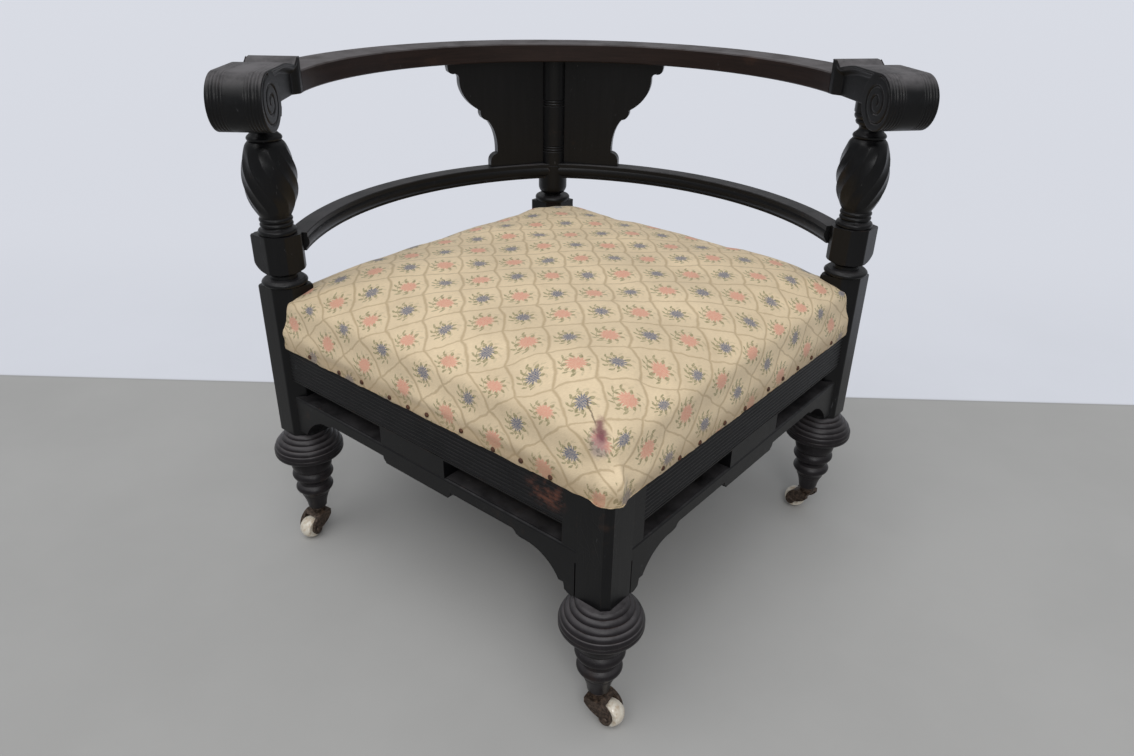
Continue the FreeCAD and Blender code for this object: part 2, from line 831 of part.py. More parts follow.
def caster_wheel():
    """The barrel-shaped porcelain wheel."""
    half = wheel_width / 2
    bore = axle_radius + running_clearance
    edge = wheel_radius - 2.6
    p = Profile(bore, -half)
    p.line(edge - 1.5, -half)
    p.arc(edge, -half + 1.6, 0.5)
    p.arc(edge, half - 1.6, wheel_radius - edge)
    p.arc(edge - 1.5, half, 0.5)
    p.line(bore, half)
    wheel = p.face().revolve(V(0, 0, 0), UP, 360)
    wheel.rotate(V(0, 0, 0), V(1, 0, 0), -90)
    return moved(wheel, V(caster_trail, 0, wheel_radius))


def placed_caster(shape, axis, heading):
    """A caster piece under its foot, with the wheel trailing to the given heading."""
    return moved(turned(shape, heading), axis)


# Turned and square posts, cut for the tenons and spigots that they take
front_tenons = front_rail_tenons(seat_rail_bottom, seat_rail_top)
right = right_post().cut(front_tenons + back_rail_tenons() + [foot_socket(right_axis)])
save("side_post_right", right)
save("side_post_left", mirrored(right))
save("back_post", back_post().cut(back_rail_tenons() + [mirrored(t) for t in back_rail_tenons()]
                                  + [foot_socket(back_axis)]))
save("front_post", front_post().cut(front_tenons + [mirrored(t) for t in front_tenons]
                                    + [foot_socket(front_axis)]))

# Pieces that come as a right-hand one and its mirrored twin
for name, maker in (("seat_rail_front", front_rail), ("seat_rail_back", back_rail), ("apron", apron),
                    ("apron_centre_block", centre_block), ("apron_end_stile", end_stile),
                    ("bracket_front", front_bracket), ("bracket_side", side_bracket),
                    ("arm_scroll", arm_scroll), ("top_rail", top_rail), ("lower_rail", lower_rail),
                    ("splat", splat)):
    piece = maker()
    save(name + "_right", piece)
    save(name + "_left", mirrored(piece))

save("corner_blocks", corner_blocks())

# Upholstery, from the straps up
save("webbing_lower", webbing(seat_rail_top, 45))
save("webbing_upper", webbing(seat_rail_top + web_thickness + soft_clearance, 135))
save("base_cloth", base_cloth())
save("seat_stuffing", seat_stuffing())
save("seat_cover", seat_cover())

# Feet and casters; each heading is where the wheel trails in the rest pose
stations = (("front", front_axis, -36.9), ("left", left_axis, -126.9),
            ("right", right_axis, 126.9), ("back", back_axis, 106.0))
for name, axis, heading in stations:
    save("foot_" + name, foot(axis))
    save("caster_neck_" + name, placed_caster(caster_neck(), axis, heading))
    save("caster_fork_" + name, placed_caster(caster_fork(), axis, heading))
    save("caster_axle_" + name, placed_caster(caster_axle(), axis, heading))
    save("caster_wheel_" + name, placed_caster(caster_wheel(), axis, heading))
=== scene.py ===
import math

import bpy
import numpy as np
from bpy.props import FloatProperty, FloatVectorProperty, IntProperty, PointerProperty
from mathutils import Matrix, Vector


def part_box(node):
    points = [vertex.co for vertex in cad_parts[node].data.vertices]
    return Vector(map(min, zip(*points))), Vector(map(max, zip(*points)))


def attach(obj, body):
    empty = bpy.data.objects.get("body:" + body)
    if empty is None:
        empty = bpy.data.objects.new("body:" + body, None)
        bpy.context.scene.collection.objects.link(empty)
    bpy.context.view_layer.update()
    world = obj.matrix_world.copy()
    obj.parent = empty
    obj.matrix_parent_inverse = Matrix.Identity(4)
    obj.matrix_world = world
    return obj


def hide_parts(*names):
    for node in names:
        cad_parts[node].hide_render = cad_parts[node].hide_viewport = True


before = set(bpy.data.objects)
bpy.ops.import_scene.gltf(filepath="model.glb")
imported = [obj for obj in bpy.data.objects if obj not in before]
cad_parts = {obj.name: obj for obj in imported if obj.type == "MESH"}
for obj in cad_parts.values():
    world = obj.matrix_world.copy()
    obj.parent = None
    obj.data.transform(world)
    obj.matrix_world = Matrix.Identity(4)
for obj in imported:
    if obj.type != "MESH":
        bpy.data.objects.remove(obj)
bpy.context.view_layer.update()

bl_info = {
    "name": "Corner chair",
    "version": (1, 0, 0),
    "blender": (4, 5, 0),
    "location": "View3D > Sidebar > Chair",
    "description": "Carving, upholstery and finishes for an ebonised corner chair",
    "category": "Object",
}


def underside(name):
    """Lowest level of a piece of the frame."""
    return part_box(name)[0][2]


def top_side(name):
    """Highest level of a piece of the frame."""
    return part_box(name)[1][2]


SEAT_HALF_DIAGONAL = 0.360
HALF_SIDE = SEAT_HALF_DIAGONAL * math.sqrt(2) / 2
RAIL_OUT = HALF_SIDE + 0.018            # outer face of a seat rail from the middle of the seat
RAIL_TOP = top_side("seat_rail_back_right")
HEM_LEVEL = underside("seat_cover")
CROWN_LEVEL = top_side("seat_cover")
SHOULDER = RAIL_TOP + 0.037             # where the side of the stuffed seat turns into its top
COVER_OUT = RAIL_OUT + 0.0022           # side of the stuffed seat
CLEAR_OUT = RAIL_OUT + 0.0018           # least that the cover stands out beside a rail
TACK_OUT = RAIL_OUT + 0.0026            # middle of a tack's head
NOSE_OUT = 0.3842                       # least that it stands out over the front post
HELD_LEVEL = HEM_LEVEL + 0.008          # the cloth is held below this while it is blown up
FOLD_LEVEL = RAIL_TOP + 0.053           # the cloth map is folded down below this
CORNER_POWERS = (34, 16, 7)             # how square the seat is at its hem, side and crown
PATTERN_LEAN = math.radians(2.0)
PATTERN_START = (40.35, 40.40)          # place in the pattern, in cells, of the seat's middle
POST_BOTTOM = underside("front_post")
POST_BLOCK_TOP = RAIL_TOP + 0.055
HALF_STOCK = 0.024                      # half of the side posts' square stock
SMALL_BLOCK = underside("lower_rail_right") - 0.009
VASE_FOOT = SMALL_BLOCK + 0.034
ARM_BOTTOM = underside("top_rail_right")
ARM_TOP = top_side("arm_scroll_right")
ARM_HALF = 0.0295                       # half of an arm's width
ARM_REACH = 0.116                       # from an arm's joint to the middle of its roll
ARM_SPLAY = math.radians(5.5)
ARM_JOINT = (0.34907, 0.054)            # where the right arm meets the top rail
ROLL_RADIUS = 0.0315
ROLL_LEVEL = ARM_TOP - ROLL_RADIUS
FRONT_STEPS = 6                         # points down the front of an arm's roll

RUBBED_RED = (0.115, 0.042, 0.026)
SCUFF_GREY = (0.11, 0.11, 0.115)
SOIL_AND_HEM_BROWN = (0.30, 0.20, 0.10)
# painted shade along a crease at the front of the cover
CREASE_SHADE = (0.11, 0.075, 0.045)
RUST = (0.072, 0.044, 0.028)
BRIGHT_IRON = (0.20, 0.16, 0.13)
CRAZE_BROWN = (0.35, 0.28, 0.2)
TREAD_BROWN = (0.36, 0.25, 0.15)
JUTE_DARK, JUTE_LIGHT, JUTE_DIRT = (0.17, 0.115, 0.06), (0.34, 0.25, 0.145), (0.12, 0.085, 0.05)
TACK_DARK, TACK_LIGHT = (0.035, 0.014, 0.008), (0.12, 0.045, 0.02)
BLACK = (0.0, 0.0, 0.0)


# ---------------------------------------------------------------- sizes and colours

def colour_setting(name, description, *default):
    """A colour as red, green and blue."""
    return FloatVectorProperty(name=name, description=description, subtype="COLOR", default=default)


def length_setting(name, description, default):
    """A length in metres."""
    return FloatProperty(name=name, description=description, unit="LENGTH", default=default)


def angle_setting(name, description, degrees):
    """An angle, given here in degrees."""
    return FloatProperty(name=name, description=description, subtype="ANGLE",
                         default=math.radians(degrees))


class ChairFinish(bpy.types.PropertyGroup):
    """Colours of the wood, the brocade and the casters."""
    black_wood: colour_setting("Ebonised wood", "Colour of the black stain", 0.0038, 0.0038, 0.0044)
    worn_wood: colour_setting("Worn wood", "Brown where the stain is rubbed", 0.052, 0.026, 0.016)
    rail_wood: colour_setting("Bare rail", "Red-brown face of the top rail", 0.018, 0.0098, 0.0078)
    # grey of real dust on upward faces, which also paints a sheen of light on them
    dust_and_sheen: colour_setting("Dust", "Grey bloom on upward faces", 0.170, 0.160, 0.165)
    cloth: colour_setting("Brocade ground", "Pale gold ground of the cover", 0.790, 0.635, 0.425)
    lattice: colour_setting("Lattice", "Olive tan lines between the cells", 0.340, 0.235, 0.115)
    rose: colour_setting("Pink flower", "Larger flower of the brocade", 0.700, 0.270, 0.200)
    bluebell: colour_setting("Blue flower", "Smaller flower of the brocade", 0.013, 0.056, 0.165)
    leaf: colour_setting("Leaf", "Olive leaves round each flower", 0.195, 0.183, 0.072)
    iron: colour_setting("Caster iron", "Rusty brown iron", 0.040, 0.028, 0.021)
    porcelain: colour_setting("Porcelain", "Off-white glazed wheels", 0.70, 0.65, 0.555)


class ChairCloth(bpy.types.PropertyGroup):
    """Sizes of the stuffed seat and its pattern."""
    cell_width: length_setting("Cell width", "One flower to the next, side to side", 0.0432)
    cell_height: length_setting("Cell height", "One flower to the next, front to back", 0.0540)
    voxel: length_setting("Voxel", "Remesh size before the cloth is inflated", 0.0072)
    swell: length_setting("Swell", "Most that the cloth may rise when inflated", 0.006)
    pressure: FloatProperty(name="Pressure", description="Inflation of the pad", default=4.0)
    frames: IntProperty(name="Frames", description="Steps of the cloth", default=20)
    tack_radius: length_setting("Tack head", "Radius of a tack head", 0.0030)


class ChairCarving(bpy.types.PropertyGroup):
    """Sizes of the carved and turned ornament."""
    flute_count: IntProperty(name="Flutes", description="Spiral hollows round a vase", default=12)
    flute_depth: length_setting("Flute depth", "Depth of a spiral hollow", 0.0014)
    flute_twist: angle_setting("Twist", "Turn of a flute over the vase", 74)
    ring_depth: length_setting("Ring depth", "Height of a ring on a foot's ball", 0.0014)
    reed_depth: length_setting("Reed depth", "Depth of the lines over a scroll", 0.0006)
    reed_pitch: length_setting("Reed pitch", "One line over a scroll to the next", 0.0036)
    volute_pitch: length_setting("Volute pitch", "One turn of the spiral to the next", 0.0105)
    volute_depth: length_setting("Volute depth", "Depth of the spiral line", 0.0017)
    arm_hollow: length_setting("Arm hollow", "Depth of the cove along the inside of an arm", 0.0075)


class ChairStage(bpy.types.PropertyGroup):
    """Camera, floor and backdrop."""
    camera_place: FloatVectorProperty(name="Camera", description="Where the camera stands",
                                      subtype="TRANSLATION", default=(-0.1052, -1.0218, 0.7781))
    camera_heading: angle_setting("Heading", "Turn of the view to the right", 5.570)
    camera_dip: angle_setting("Dip", "Downward tilt of the view", 27.812)
    camera_roll: angle_setting("Roll", "Lean of the frame", 1.050)
    focal_pixels: FloatProperty(name="Focal length in pixels", description="For a frame 1134 wide",
                                default=853.2)
    frame_pixels: FloatProperty(name="Frame width", description="Width of the frame in pixels",
                                default=1134.0)
    floor_colour: colour_setting("Floor", "Plain pale floor", 0.380, 0.376, 0.367)
    wall_colour: colour_setting("Backdrop", "Paler ground behind the chair", 0.64, 0.66, 0.72)
    wall_turn: angle_setting("Seam turn", "Turn of the seam between the two grounds", -6.55)
    wall_distance: length_setting("Seam distance", "From the chair's middle to the seam", 0.399)


def settings(name):
    return getattr(bpy.context.scene, "chair_" + name)


# ---------------------------------------------------------------- mesh helpers

def smooth_step(low, high, value):
    """0 below low, 1 above high, with an S-shaped rise between."""
    t = np.clip((value - low) / (high - low), 0.0, 1.0)
    return t * t * (3 - 2 * t)


def through(points, steps):
    """A smooth curve through a few points: each span a cubic, sloped along its neighbours."""
    p = np.asarray(points, float)
    p = np.vstack([2 * p[0] - p[1], p, 2 * p[-1] - p[-2]])
    t = np.linspace(0, 1, steps, endpoint=False)[:, None]
    a, b, c, d = p[:-3, None], p[1:-2, None], p[2:-1, None], p[3:, None]
    spans = 0.5 * (2 * b + (c - a) * t + (2 * a - 5 * b + 4 * c - d) * t ** 2
                   + (3 * b - 3 * c + d - a) * t ** 3)
    return np.vstack([spans.reshape(-1, p.shape[1]), p[-2]])


def bulge(start, end, height, steps=8, power=1.0):
    """A half-round moulding between two profile points: a sine to the right of travel."""
    start, end = np.asarray(start, float), np.asarray(end, float)
    t = np.linspace(0, 1, steps)[:, None]
    along = (end - start) / np.linalg.norm(end - start)
    out = np.array([along[1], -along[0]])
    return start + (end - start) * t + out * height * np.maximum(np.sin(math.pi * t), 0) ** power


def circle(count):
    """Even angles round a full turn."""
    return np.linspace(0, 2 * math.pi, count, endpoint=False)


def turned(radius, around, height):
    """Rings of points: a radius by height, and by angle where it changes, round an upright axis."""
    x, y = radius * np.cos(around), radius * np.sin(around)
    return np.stack(np.broadcast_arrays(x, y, height), -1)


def grid_faces(rows, columns, closed=False, start=0):
    """Quads that join a grid of points, rows first; closed joins the last column to the first."""
    r = np.arange(rows - 1)[:, None] * columns + start
    c = np.arange(columns if closed else columns - 1)
    n = (c + 1) % columns
    return np.stack([r + c, r + n, r + columns + n, r + columns + c], -1).reshape(-1, 4)


def new_piece(name, points, faces, sharp=40.0, caps=()):
    """A mesh object from an array of points and of quads, with rings closed by one face each."""
    mesh = bpy.data.meshes.new(name)
    loops = np.concatenate([faces.ravel(), *caps]).astype(np.int32)
    sizes = np.array([4] * len(faces) + [len(cap) for cap in caps], np.int32)
    starts = np.cumsum(sizes, dtype=np.int32) - sizes
    mesh.vertices.add(len(points))
    mesh.vertices.foreach_set("co", np.asarray(points, np.float32).ravel())
    mesh.loops.add(len(loops))
    mesh.loops.foreach_set("vertex_index", loops)
    mesh.polygons.add(len(sizes))
    mesh.polygons.foreach_set("loop_start", starts)
    mesh.polygons.foreach_set("loop_total", sizes)
    mesh.update(calc_edges=True)
    mesh.validate()
    mesh.polygons.foreach_set("use_smooth", np.ones(len(mesh.polygons), bool))
    mesh.set_sharp_from_angle(angle=math.radians(sharp))
    piece = bpy.data.objects.new(name, mesh)
    bpy.context.scene.collection.objects.link(piece)
    return piece


def tube(name, rings, sharp=40.0):
    """A closed piece from rings of points, lowest first, with a face over each end."""
    rows, columns = rings.shape[:2]
    ring = np.arange(columns)
    return new_piece(name, rings.reshape(-1, 3), grid_faces(rows, columns, closed=True), sharp,
                     (ring[::-1], (rows - 1) * columns + ring))


def read(items, key, width=1, kind=np.float32):
    """One value of many mesh elements as an array, or a row of values for each of them."""
    values = np.empty(len(items) * width, kind)
    items.foreach_get(key, values)
    return values.reshape(-1, width) if width > 1 else values


def move_points(mesh, points):
    """Put a mesh's points in new places."""
    mesh.vertices.foreach_set("co", points.astype(np.float32).ravel())
    mesh.update()


def dress(piece, finish, slot, *replaced):
    """Finish a new piece: its material, its body and the pieces it stands for; slot is not used."""
    piece.data.materials.clear()
    piece.data.materials.append(bpy.data.materials[finish])
    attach(piece, "frame")
    if replaced:
        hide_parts(*replaced)


# ---------------------------------------------------------------- shader writing

class Signal:
    """A node's output; its arithmetic makes Math nodes, and its methods the nodes that read it."""

    def __init__(self, sheet, socket):
        self.sheet, self.socket = sheet, socket

    def __add__(self, other):
        return self.sheet.math("ADD", self, other)

    def __sub__(self, other):
        return self.sheet.math("SUBTRACT", self, other)

    def __rsub__(self, other):
        return self.sheet.math("SUBTRACT", other, self)

    def __mul__(self, other):
        return self.sheet.math("MULTIPLY", self, other)

    def __truediv__(self, other):
        return self.sheet.math("DIVIDE", self, other)

    def __abs__(self):
        return self.sheet.math("ABSOLUTE", self)

    def band(self, low, high):
        """An S-shaped rise from 0 at low to 1 at high, or a fall where low is the larger."""
        values = {"Value": self, "From Min": low, "From Max": high}
        return self.sheet.make("ShaderNodeMapRange", values, "Result",
                               interpolation_type="SMOOTHSTEP")

    def noise(self, scale, detail=3.0, roughness=0.55, distortion=0.0, output="Fac"):
        values = {"Vector": self, "Scale": scale, "Detail": detail, "Roughness": roughness,
                  "Distortion": distortion}
        return self.sheet.make("ShaderNodeTexNoise", values, output)

    def cells(self, scale):
        """Distance to the edges of uneven cells."""
        return self.sheet.make("ShaderNodeTexVoronoi", {"Vector": self, "Scale": scale}, "Distance",
                               feature="DISTANCE_TO_EDGE")

    def mapped(self, turn=(0, 0, 0), scale=(1, 1, 1)):
        values = {"Vector": self, "Rotation": turn, "Scale": scale}
        return self.sheet.make("ShaderNodeMapping", values)

    def split(self):
        return self.sheet.outputs(self.sheet.node("ShaderNodeSeparateXYZ", (self,))).values()

    def bump(self, strength, distance):
        values = {"Strength": strength, "Distance": distance, "Height": self}
        return self.sheet.make("ShaderNodeBump", values)


class Sheet:
    """Writes nodes into one tree; a value is a signal, a number, a colour or a vector."""

    def __init__(self, tree):
        self.tree = tree

    def fill(self, node, values):
        """Link or set a node's inputs, which are given by name or number, or else in order."""
        for key, value in values.items() if isinstance(values, dict) else enumerate(values):
            socket = node.inputs[key]
            if isinstance(value, Signal):
                self.tree.links.new(value.socket, socket)
            else:
                socket.default_value = (*value, 1.0) if socket.type == "RGBA" else value
        return node

    def node(self, kind, values=(), **options):
        """A new node, with its options set before its inputs."""
        node = self.tree.nodes.new(kind)
        for option, value in options.items():
            setattr(node, option, value)
        return self.fill(node, values)

    def make(self, kind, values=(), output=0, **options):
        """One output of a new node."""
        return Signal(self, self.node(kind, values, **options).outputs[output])

    def math(self, operation, *values, clamp=False):
        return self.make("ShaderNodeMath", values, operation=operation, use_clamp=clamp)

    def vector(self, operation, *values):
        output = "Value" if operation in ("DOT_PRODUCT", "LENGTH", "DISTANCE") else "Vector"
        return self.make("ShaderNodeVectorMath", values, output, operation=operation)

    def mix(self, amount, a, b, blend="MIX"):
        return self.make("ShaderNodeMix", {0: amount, 6: a, 7: b}, 2, data_type="RGBA",
                         blend_type=blend)

    def join(self, *parts):
        return self.make("ShaderNodeCombineXYZ", parts)

    def place(self):
        return self.make("ShaderNodeTexCoord", output="Object")

    def normal(self):
        return self.make("ShaderNodeNewGeometry", output="Normal")

    def outputs(self, node):
        return {output.name: Signal(self, output) for output in node.outputs}

    def group(self, name, **values):
        """The outputs of a node group, by name."""
        node = self.node("ShaderNodeGroup", node_tree=bpy.data.node_groups[name])
        return self.outputs(self.fill(node, values))

    def give(self, **signals):
        """Name this group's outputs and link each to its signal."""
        for label in signals:
            self.tree.interface.new_socket(label, in_out="OUTPUT", socket_type="NodeSocketFloat")
        self.node("NodeGroupOutput", signals)

    def paint(self, values):
        """Set or link the sockets of this material's Principled BSDF."""
        self.fill(self.tree.nodes["Principled BSDF"], values)


def new_group(name, **numbers):
    """A shader node group: its sheet and its inputs, a vector and numbers with their defaults."""
    tree = bpy.data.node_groups.new(name, "ShaderNodeTree")
    tree.interface.new_socket("Vector", in_out="INPUT", socket_type="NodeSocketVector")
    for label, default in numbers.items():
        socket = tree.interface.new_socket(label, in_out="INPUT", socket_type="NodeSocketFloat")
        socket.default_value = default
    sheet = Sheet(tree)
    given = sheet.outputs(sheet.node("NodeGroupInput"))
    return sheet, given["Vector"], *(given[label] for label in numbers)


def new_material(name):
    material = bpy.data.materials.new(name)
    material.use_nodes = True
    return material, Sheet(material.node_tree)


def make_timber_group():
    """Grain: noise drawn out along Z, with pores, knocks and a slow change of tone."""
    sheet, place = new_group("timber")
    fibre = place.mapped(scale=(900, 900, 26)).noise(1.0, 4.0, 0.6)
    figure = place.mapped(scale=(70, 70, 5)).noise(1.0, 2.0, 0.5, 1.2)
    patches = place.noise(17.0, 4.0, 0.6)
    knocks = place.mapped(scale=(1, 1, 0.45)).cells(95.0)
    scratch = knocks.band(0.025, 0.0) * patches.band(0.52, 0.66)
    grain = fibre * 0.55 + figure * 0.45
    sheet.give(Grain=grain, Patches=patches, Height=grain - scratch * 0.5)


def make_wear_group():
    """Worn arrises: where a rounded normal departs from the true one, broken up by noise."""
    sheet, place, width, amount = new_group("worn_edges", Width=0.002, Amount=0.5)
    rounded = sheet.make("ShaderNodeBevel", {"Radius": width}, samples=4)
    edge = 1.0 - sheet.vector("DOT_PRODUCT", rounded, sheet.normal())
    patch = place.noise(60.0, 5.0, 0.65)
    sheet.give(Mask=edge.band(0.02, 0.16) * patch.band(0.75 - amount * 0.4, 0.8))


def make_dust_and_sheen_group():
    """Dust and bloom with a painted sheen of light: more on faces that look up, in soft patches."""
    sheet, place, amount = new_group("dust_and_sheen", Amount=0.3)
    _, _, up = sheet.normal().split()
    mask = up.band(0.45, 0.98) * place.noise(24.0, 6.0, 0.7).band(0.22, 0.66)
    sheet.give(Mask=sheet.math("MULTIPLY", mask, amount, clamp=True))


def make_sprig_group():
    """Brocade: rows of cells with bowed sides, a flower in each, pink or blue, ringed by leaves."""
    sheet, cloth = new_group("sprigs")
    streak = cloth.mapped(scale=(11, 52, 1)).noise(1.0, 3.0, 0.6).band(0.32, 0.68)
    wobble = cloth.noise(2.6, 2.0, 0.5, output="Color")
    shake = sheet.vector("MULTIPLY", sheet.vector("SUBTRACT", wobble, (0.5, 0.5, 0.5)),
                         (0.16, 0.16, 0.0))
    east, north, _ = sheet.vector("ADD", cloth, shake).split()
    # The cell: its row and column, and the place in it from its middle.
    down = sheet.math("FRACT", north) - 0.5
    bow = (0.25 - down * down) * 0.46
    across = east - bow
    side = sheet.math("FRACT", across) - 0.5
    parity = sheet.math("FLOOR", north) + sheet.math("FLOOR", across)
    parity = sheet.math("FLOORED_MODULO", parity, 2.0)
    # The lines between the cells.
    fray = cloth.noise(30.0, 2.0) * 0.5 + 0.75
    upright = (0.5 - abs(side)).band(0.068, 0.005) * (fray * 0.85)
    level = (0.5 - abs(down)).band(0.034, 0.010) * (fray * 0.72)
    line = sheet.math("MAXIMUM", upright, level, clamp=True)
    # The flower: a disc with fifteen petals, hatched and flecked.
    x = side - 0.03 + bow * 0.35
    y = down * 1.22 + 0.02
    reach = sheet.math("SQRT", x * x + y * y)
    turn = sheet.math("ARCTAN2", y, x)
    petals = sheet.math("COSINE", turn * 15.0) * 0.036 + cloth.noise(19.0, 2.0) * 0.09
    size = parity * -0.050 + 0.186 + petals
    hatch = sheet.math("SINE", (x + y * 0.7) * 120.0).band(-0.7, 0.7)
    specks = cloth.noise(26.0, 1.0).band(0.40, 0.56)
    body = sheet.math("MULTIPLY", hatch * 0.26 + 0.74, specks * streak * 0.42 + 0.66, clamp=True)
    flower = (size - reach).band(-0.006, 0.022) * body
    # Two rings of leaves, with a stem on the left.
    left = x.band(0.10, -0.06)
    inner = leaves(sheet, turn, reach, 9.0, 0.0, parity * -0.05 + 0.285, 0.080, 0.048)
    outer = leaves(sheet, turn, reach, 11.0, 2.2, parity * -0.05 + 0.395, 0.066, 0.042)
    stem = abs(reach - (parity * -0.07 + 0.325)).band(0.014, 0.005) * left
    sprays = sheet.math("MAXIMUM", outer * (left * 0.7 + 0.3), stem * 0.8)
    sprays = sheet.math("MAXIMUM", inner, sprays, clamp=True)
    thread = sheet.math("SINE", north * 420.0) * sheet.math("SINE", east * 300.0) * 0.5 + 0.5
    sheet.give(Line=line, Flower=flower, Pink=1.0 - parity, Leaf=sprays * (streak * 0.62 + 0.38),
               Thread=thread, Streak=streak)


def leaves(sheet, turn, reach, count, twist, middle, length, width):
    """A ring of leaves: each is widest at its middle radius and narrows as a parabola both ways."""
    step = 2 * math.pi / count
    aside = (sheet.math("FRACT", (turn + reach * twist) / step) - 0.5) * step
    out = (reach - middle) / length
    return ((1.0 - out * out) * width - abs(aside) * reach).band(-0.003, 0.007)


def make_wood(name, colour, turn=(0.0, 0.0, 0.0), wear=0.5, dust_and_sheen=0.18, rough=0.36, ring=0.0,
              bare=0.0, rub=None):
    """Stained wood, its grain along a turned axis or round the seat (ring); rub is a worn spot."""
    finish = settings("finish")
    material, sheet = new_material(name)
    place = sheet.place()
    if ring:
        x, y, z = place.split()
        grain = sheet.join(sheet.vector("LENGTH", sheet.join(x, y, 0.0)), z,
                           sheet.math("ARCTAN2", y, x) * ring)
    else:
        grain = place.mapped(turn=turn)
    timber = sheet.group("timber", Vector=grain)
    edges = sheet.group("worn_edges", Vector=place, Amount=wear)["Mask"]
    # Grey on upward faces: real dust, and a painted sheen of light.
    dust_and_sheen_mask = sheet.group("dust_and_sheen", Vector=place, Amount=dust_and_sheen)["Mask"]
    tone = sheet.mix(timber["Grain"].band(0.3, 0.75), np.multiply(colour, 0.62),
                     np.multiply(colour, 1.25))
    patches = timber["Patches"].band(0.66 - bare, 0.78) * (0.35 + bare)
    tone = sheet.mix(sheet.math("MAXIMUM", edges * 0.85, patches), tone, finish.worn_wood)
    if rub:
        flat = (1.0, 1.0, 1.5)
        near = sheet.vector("MULTIPLY", place, flat)
        near = sheet.vector("DISTANCE", near, np.multiply(rub, flat)).band(0.034, 0.012)
        spot = near * place.noise(90.0, 5.0, 0.7).band(0.42, 0.62)
        tone = sheet.mix(spot * 0.8, tone, RUBBED_RED)
    scuff = place.mapped(scale=(1.0, 1.0, 0.25)).noise(210.0, 3.0, 0.75, 0.8)
    scuff = scuff.band(0.66, 0.74) * timber["Patches"].band(0.42, 0.62)
    tone = sheet.mix(scuff * 0.5, tone, SCUFF_GREY)
    # Upward faces turn lighter grey and rougher: dust, and a painted sheen.
    gloss = sheet.math("ADD", timber["Grain"] * 0.22 + (rough - 0.08), dust_and_sheen_mask * 0.35, clamp=True)
    sheet.paint({"Base Color": sheet.mix(dust_and_sheen_mask, tone, finish.dust_and_sheen), "Roughness": gloss,
                 "Specular IOR Level": 0.23, "Normal": timber["Height"].bump(0.35, 0.0005)})
    return material


def make_brocade():
    """Cover cloth: the sprigs on the piece's own cloth map, with fine ribs, stains and fading."""
    finish = settings("finish")
    material, sheet = new_material("brocade_cloth")
    sprig = sheet.group("sprigs", Vector=sheet.make("ShaderNodeUVMap", uv_map="cloth"))
    place = sheet.place()
    x, y, z = place.split()
    tone = place.noise(9.0, 4.0, 0.6)
    colour = sheet.mix(tone.band(0.35, 0.7), np.multiply(finish.cloth, 0.9),
                       np.multiply(finish.cloth, 1.06))
    bloom = sheet.mix(sprig["Pink"], finish.bluebell, finish.rose)
    for layer, strength, tint in (("Streak", 0.16, finish.lattice), ("Line", 0.62, finish.lattice),
                                  ("Leaf", 0.92, finish.leaf), ("Flower", 0.97, bloom)):
        colour = sheet.mix(sprig[layer] * strength, colour, tint)
    # Dirt in patches, and a brown band darker towards the hem.
    soil = place.noise(26.0, 5.0, 0.65).band(0.52, 0.8)
    low = (z + (tone * 0.016 - 0.008)).band(HEM_LEVEL + 0.026, HEM_LEVEL + 0.008)
    colour = sheet.mix(sheet.math("MAXIMUM", soil * 0.35, low * 0.78) * 0.6, colour, SOIL_AND_HEM_BROWN)
    # Two stains at the front corner, and painted shade along a crease there.
    front = y.band(-0.29, -0.31)
    flat = (1.0, 0.0, 0.8)
    flattened = sheet.vector("MULTIPLY", place, flat)
    ragged = place.noise(90.0, 3.0) * 0.012
    for spot, reach, strength, tint in (((-0.011, 0.0, 0.357), 0.012, 0.5, (0.20, 0.14, 0.20)),
                                        ((-0.008, 0.0, 0.369), 0.008, 0.85, (0.150, 0.028, 0.048))):
        near = sheet.vector("DISTANCE", flattened, np.multiply(spot, flat))
        blot = (near + ragged).band(reach + 0.006, 0.4 * reach + 0.005) * front
        colour = sheet.mix(blot * strength, colour, tint)
    # Painted shade: a thin dark line where the cloth creases at the front corner.
    bent = x + (z - 0.347) * 0.5 + (place.noise(120.0, 2.0) * 0.006 - 0.003)
    span = z.band(0.371, 0.373) * z.band(0.384, 0.381)
    crease_shade = abs(bent).band(0.0011, 0.0003) * span * front
    colour = sheet.mix(crease_shade * 0.75, colour, CREASE_SHADE)
    relief = sprig["Thread"] * 0.35 + (sprig["Line"] * -0.8 + sprig["Flower"] * 0.7)
    sheet.paint({"Base Color": colour, "Roughness": 0.62, "Sheen Weight": 0.12,
                 "Sheen Roughness": 0.4, "Normal": relief.bump(0.5, 0.0006)})
    return material


def make_iron():
    """Rusty iron: brown scale over dark metal, rough and pitted."""
    material, sheet = new_material("rusty_iron")
    place = sheet.place()
    scale = place.noise(260.0, 6.0, 0.7)
    colour = sheet.mix(scale.band(0.4, 0.66), settings("finish").iron, RUST)
    edges = sheet.group("worn_edges", Vector=place, Width=0.0012, Amount=0.8)["Mask"]
    sheet.paint({"Base Color": sheet.mix(edges, colour, BRIGHT_IRON),
                 "Metallic": scale.band(0.62, 0.4) * 0.7, "Roughness": scale * 0.35 + 0.38,
                 "Normal": scale.bump(0.6, 0.0006)})
    return material


def make_porcelain():
    """Glazed white ware with faint crazing and a dirty tread."""
    material, sheet = new_material("glazed_ware")
    place = sheet.place()
    line = place.cells(330.0).band(0.04, 0.0)
    soil = place.noise(150.0, 5.0, 0.65).band(0.44, 0.68)
    colour = sheet.mix(line * 0.25, settings("finish").porcelain, CRAZE_BROWN)
    sheet.paint({"Base Color": sheet.mix(soil * 0.65, colour, TREAD_BROWN),
                 "Roughness": soil * 0.35 + 0.16, "Normal": soil.bump(0.15, 0.0003)})
    return material


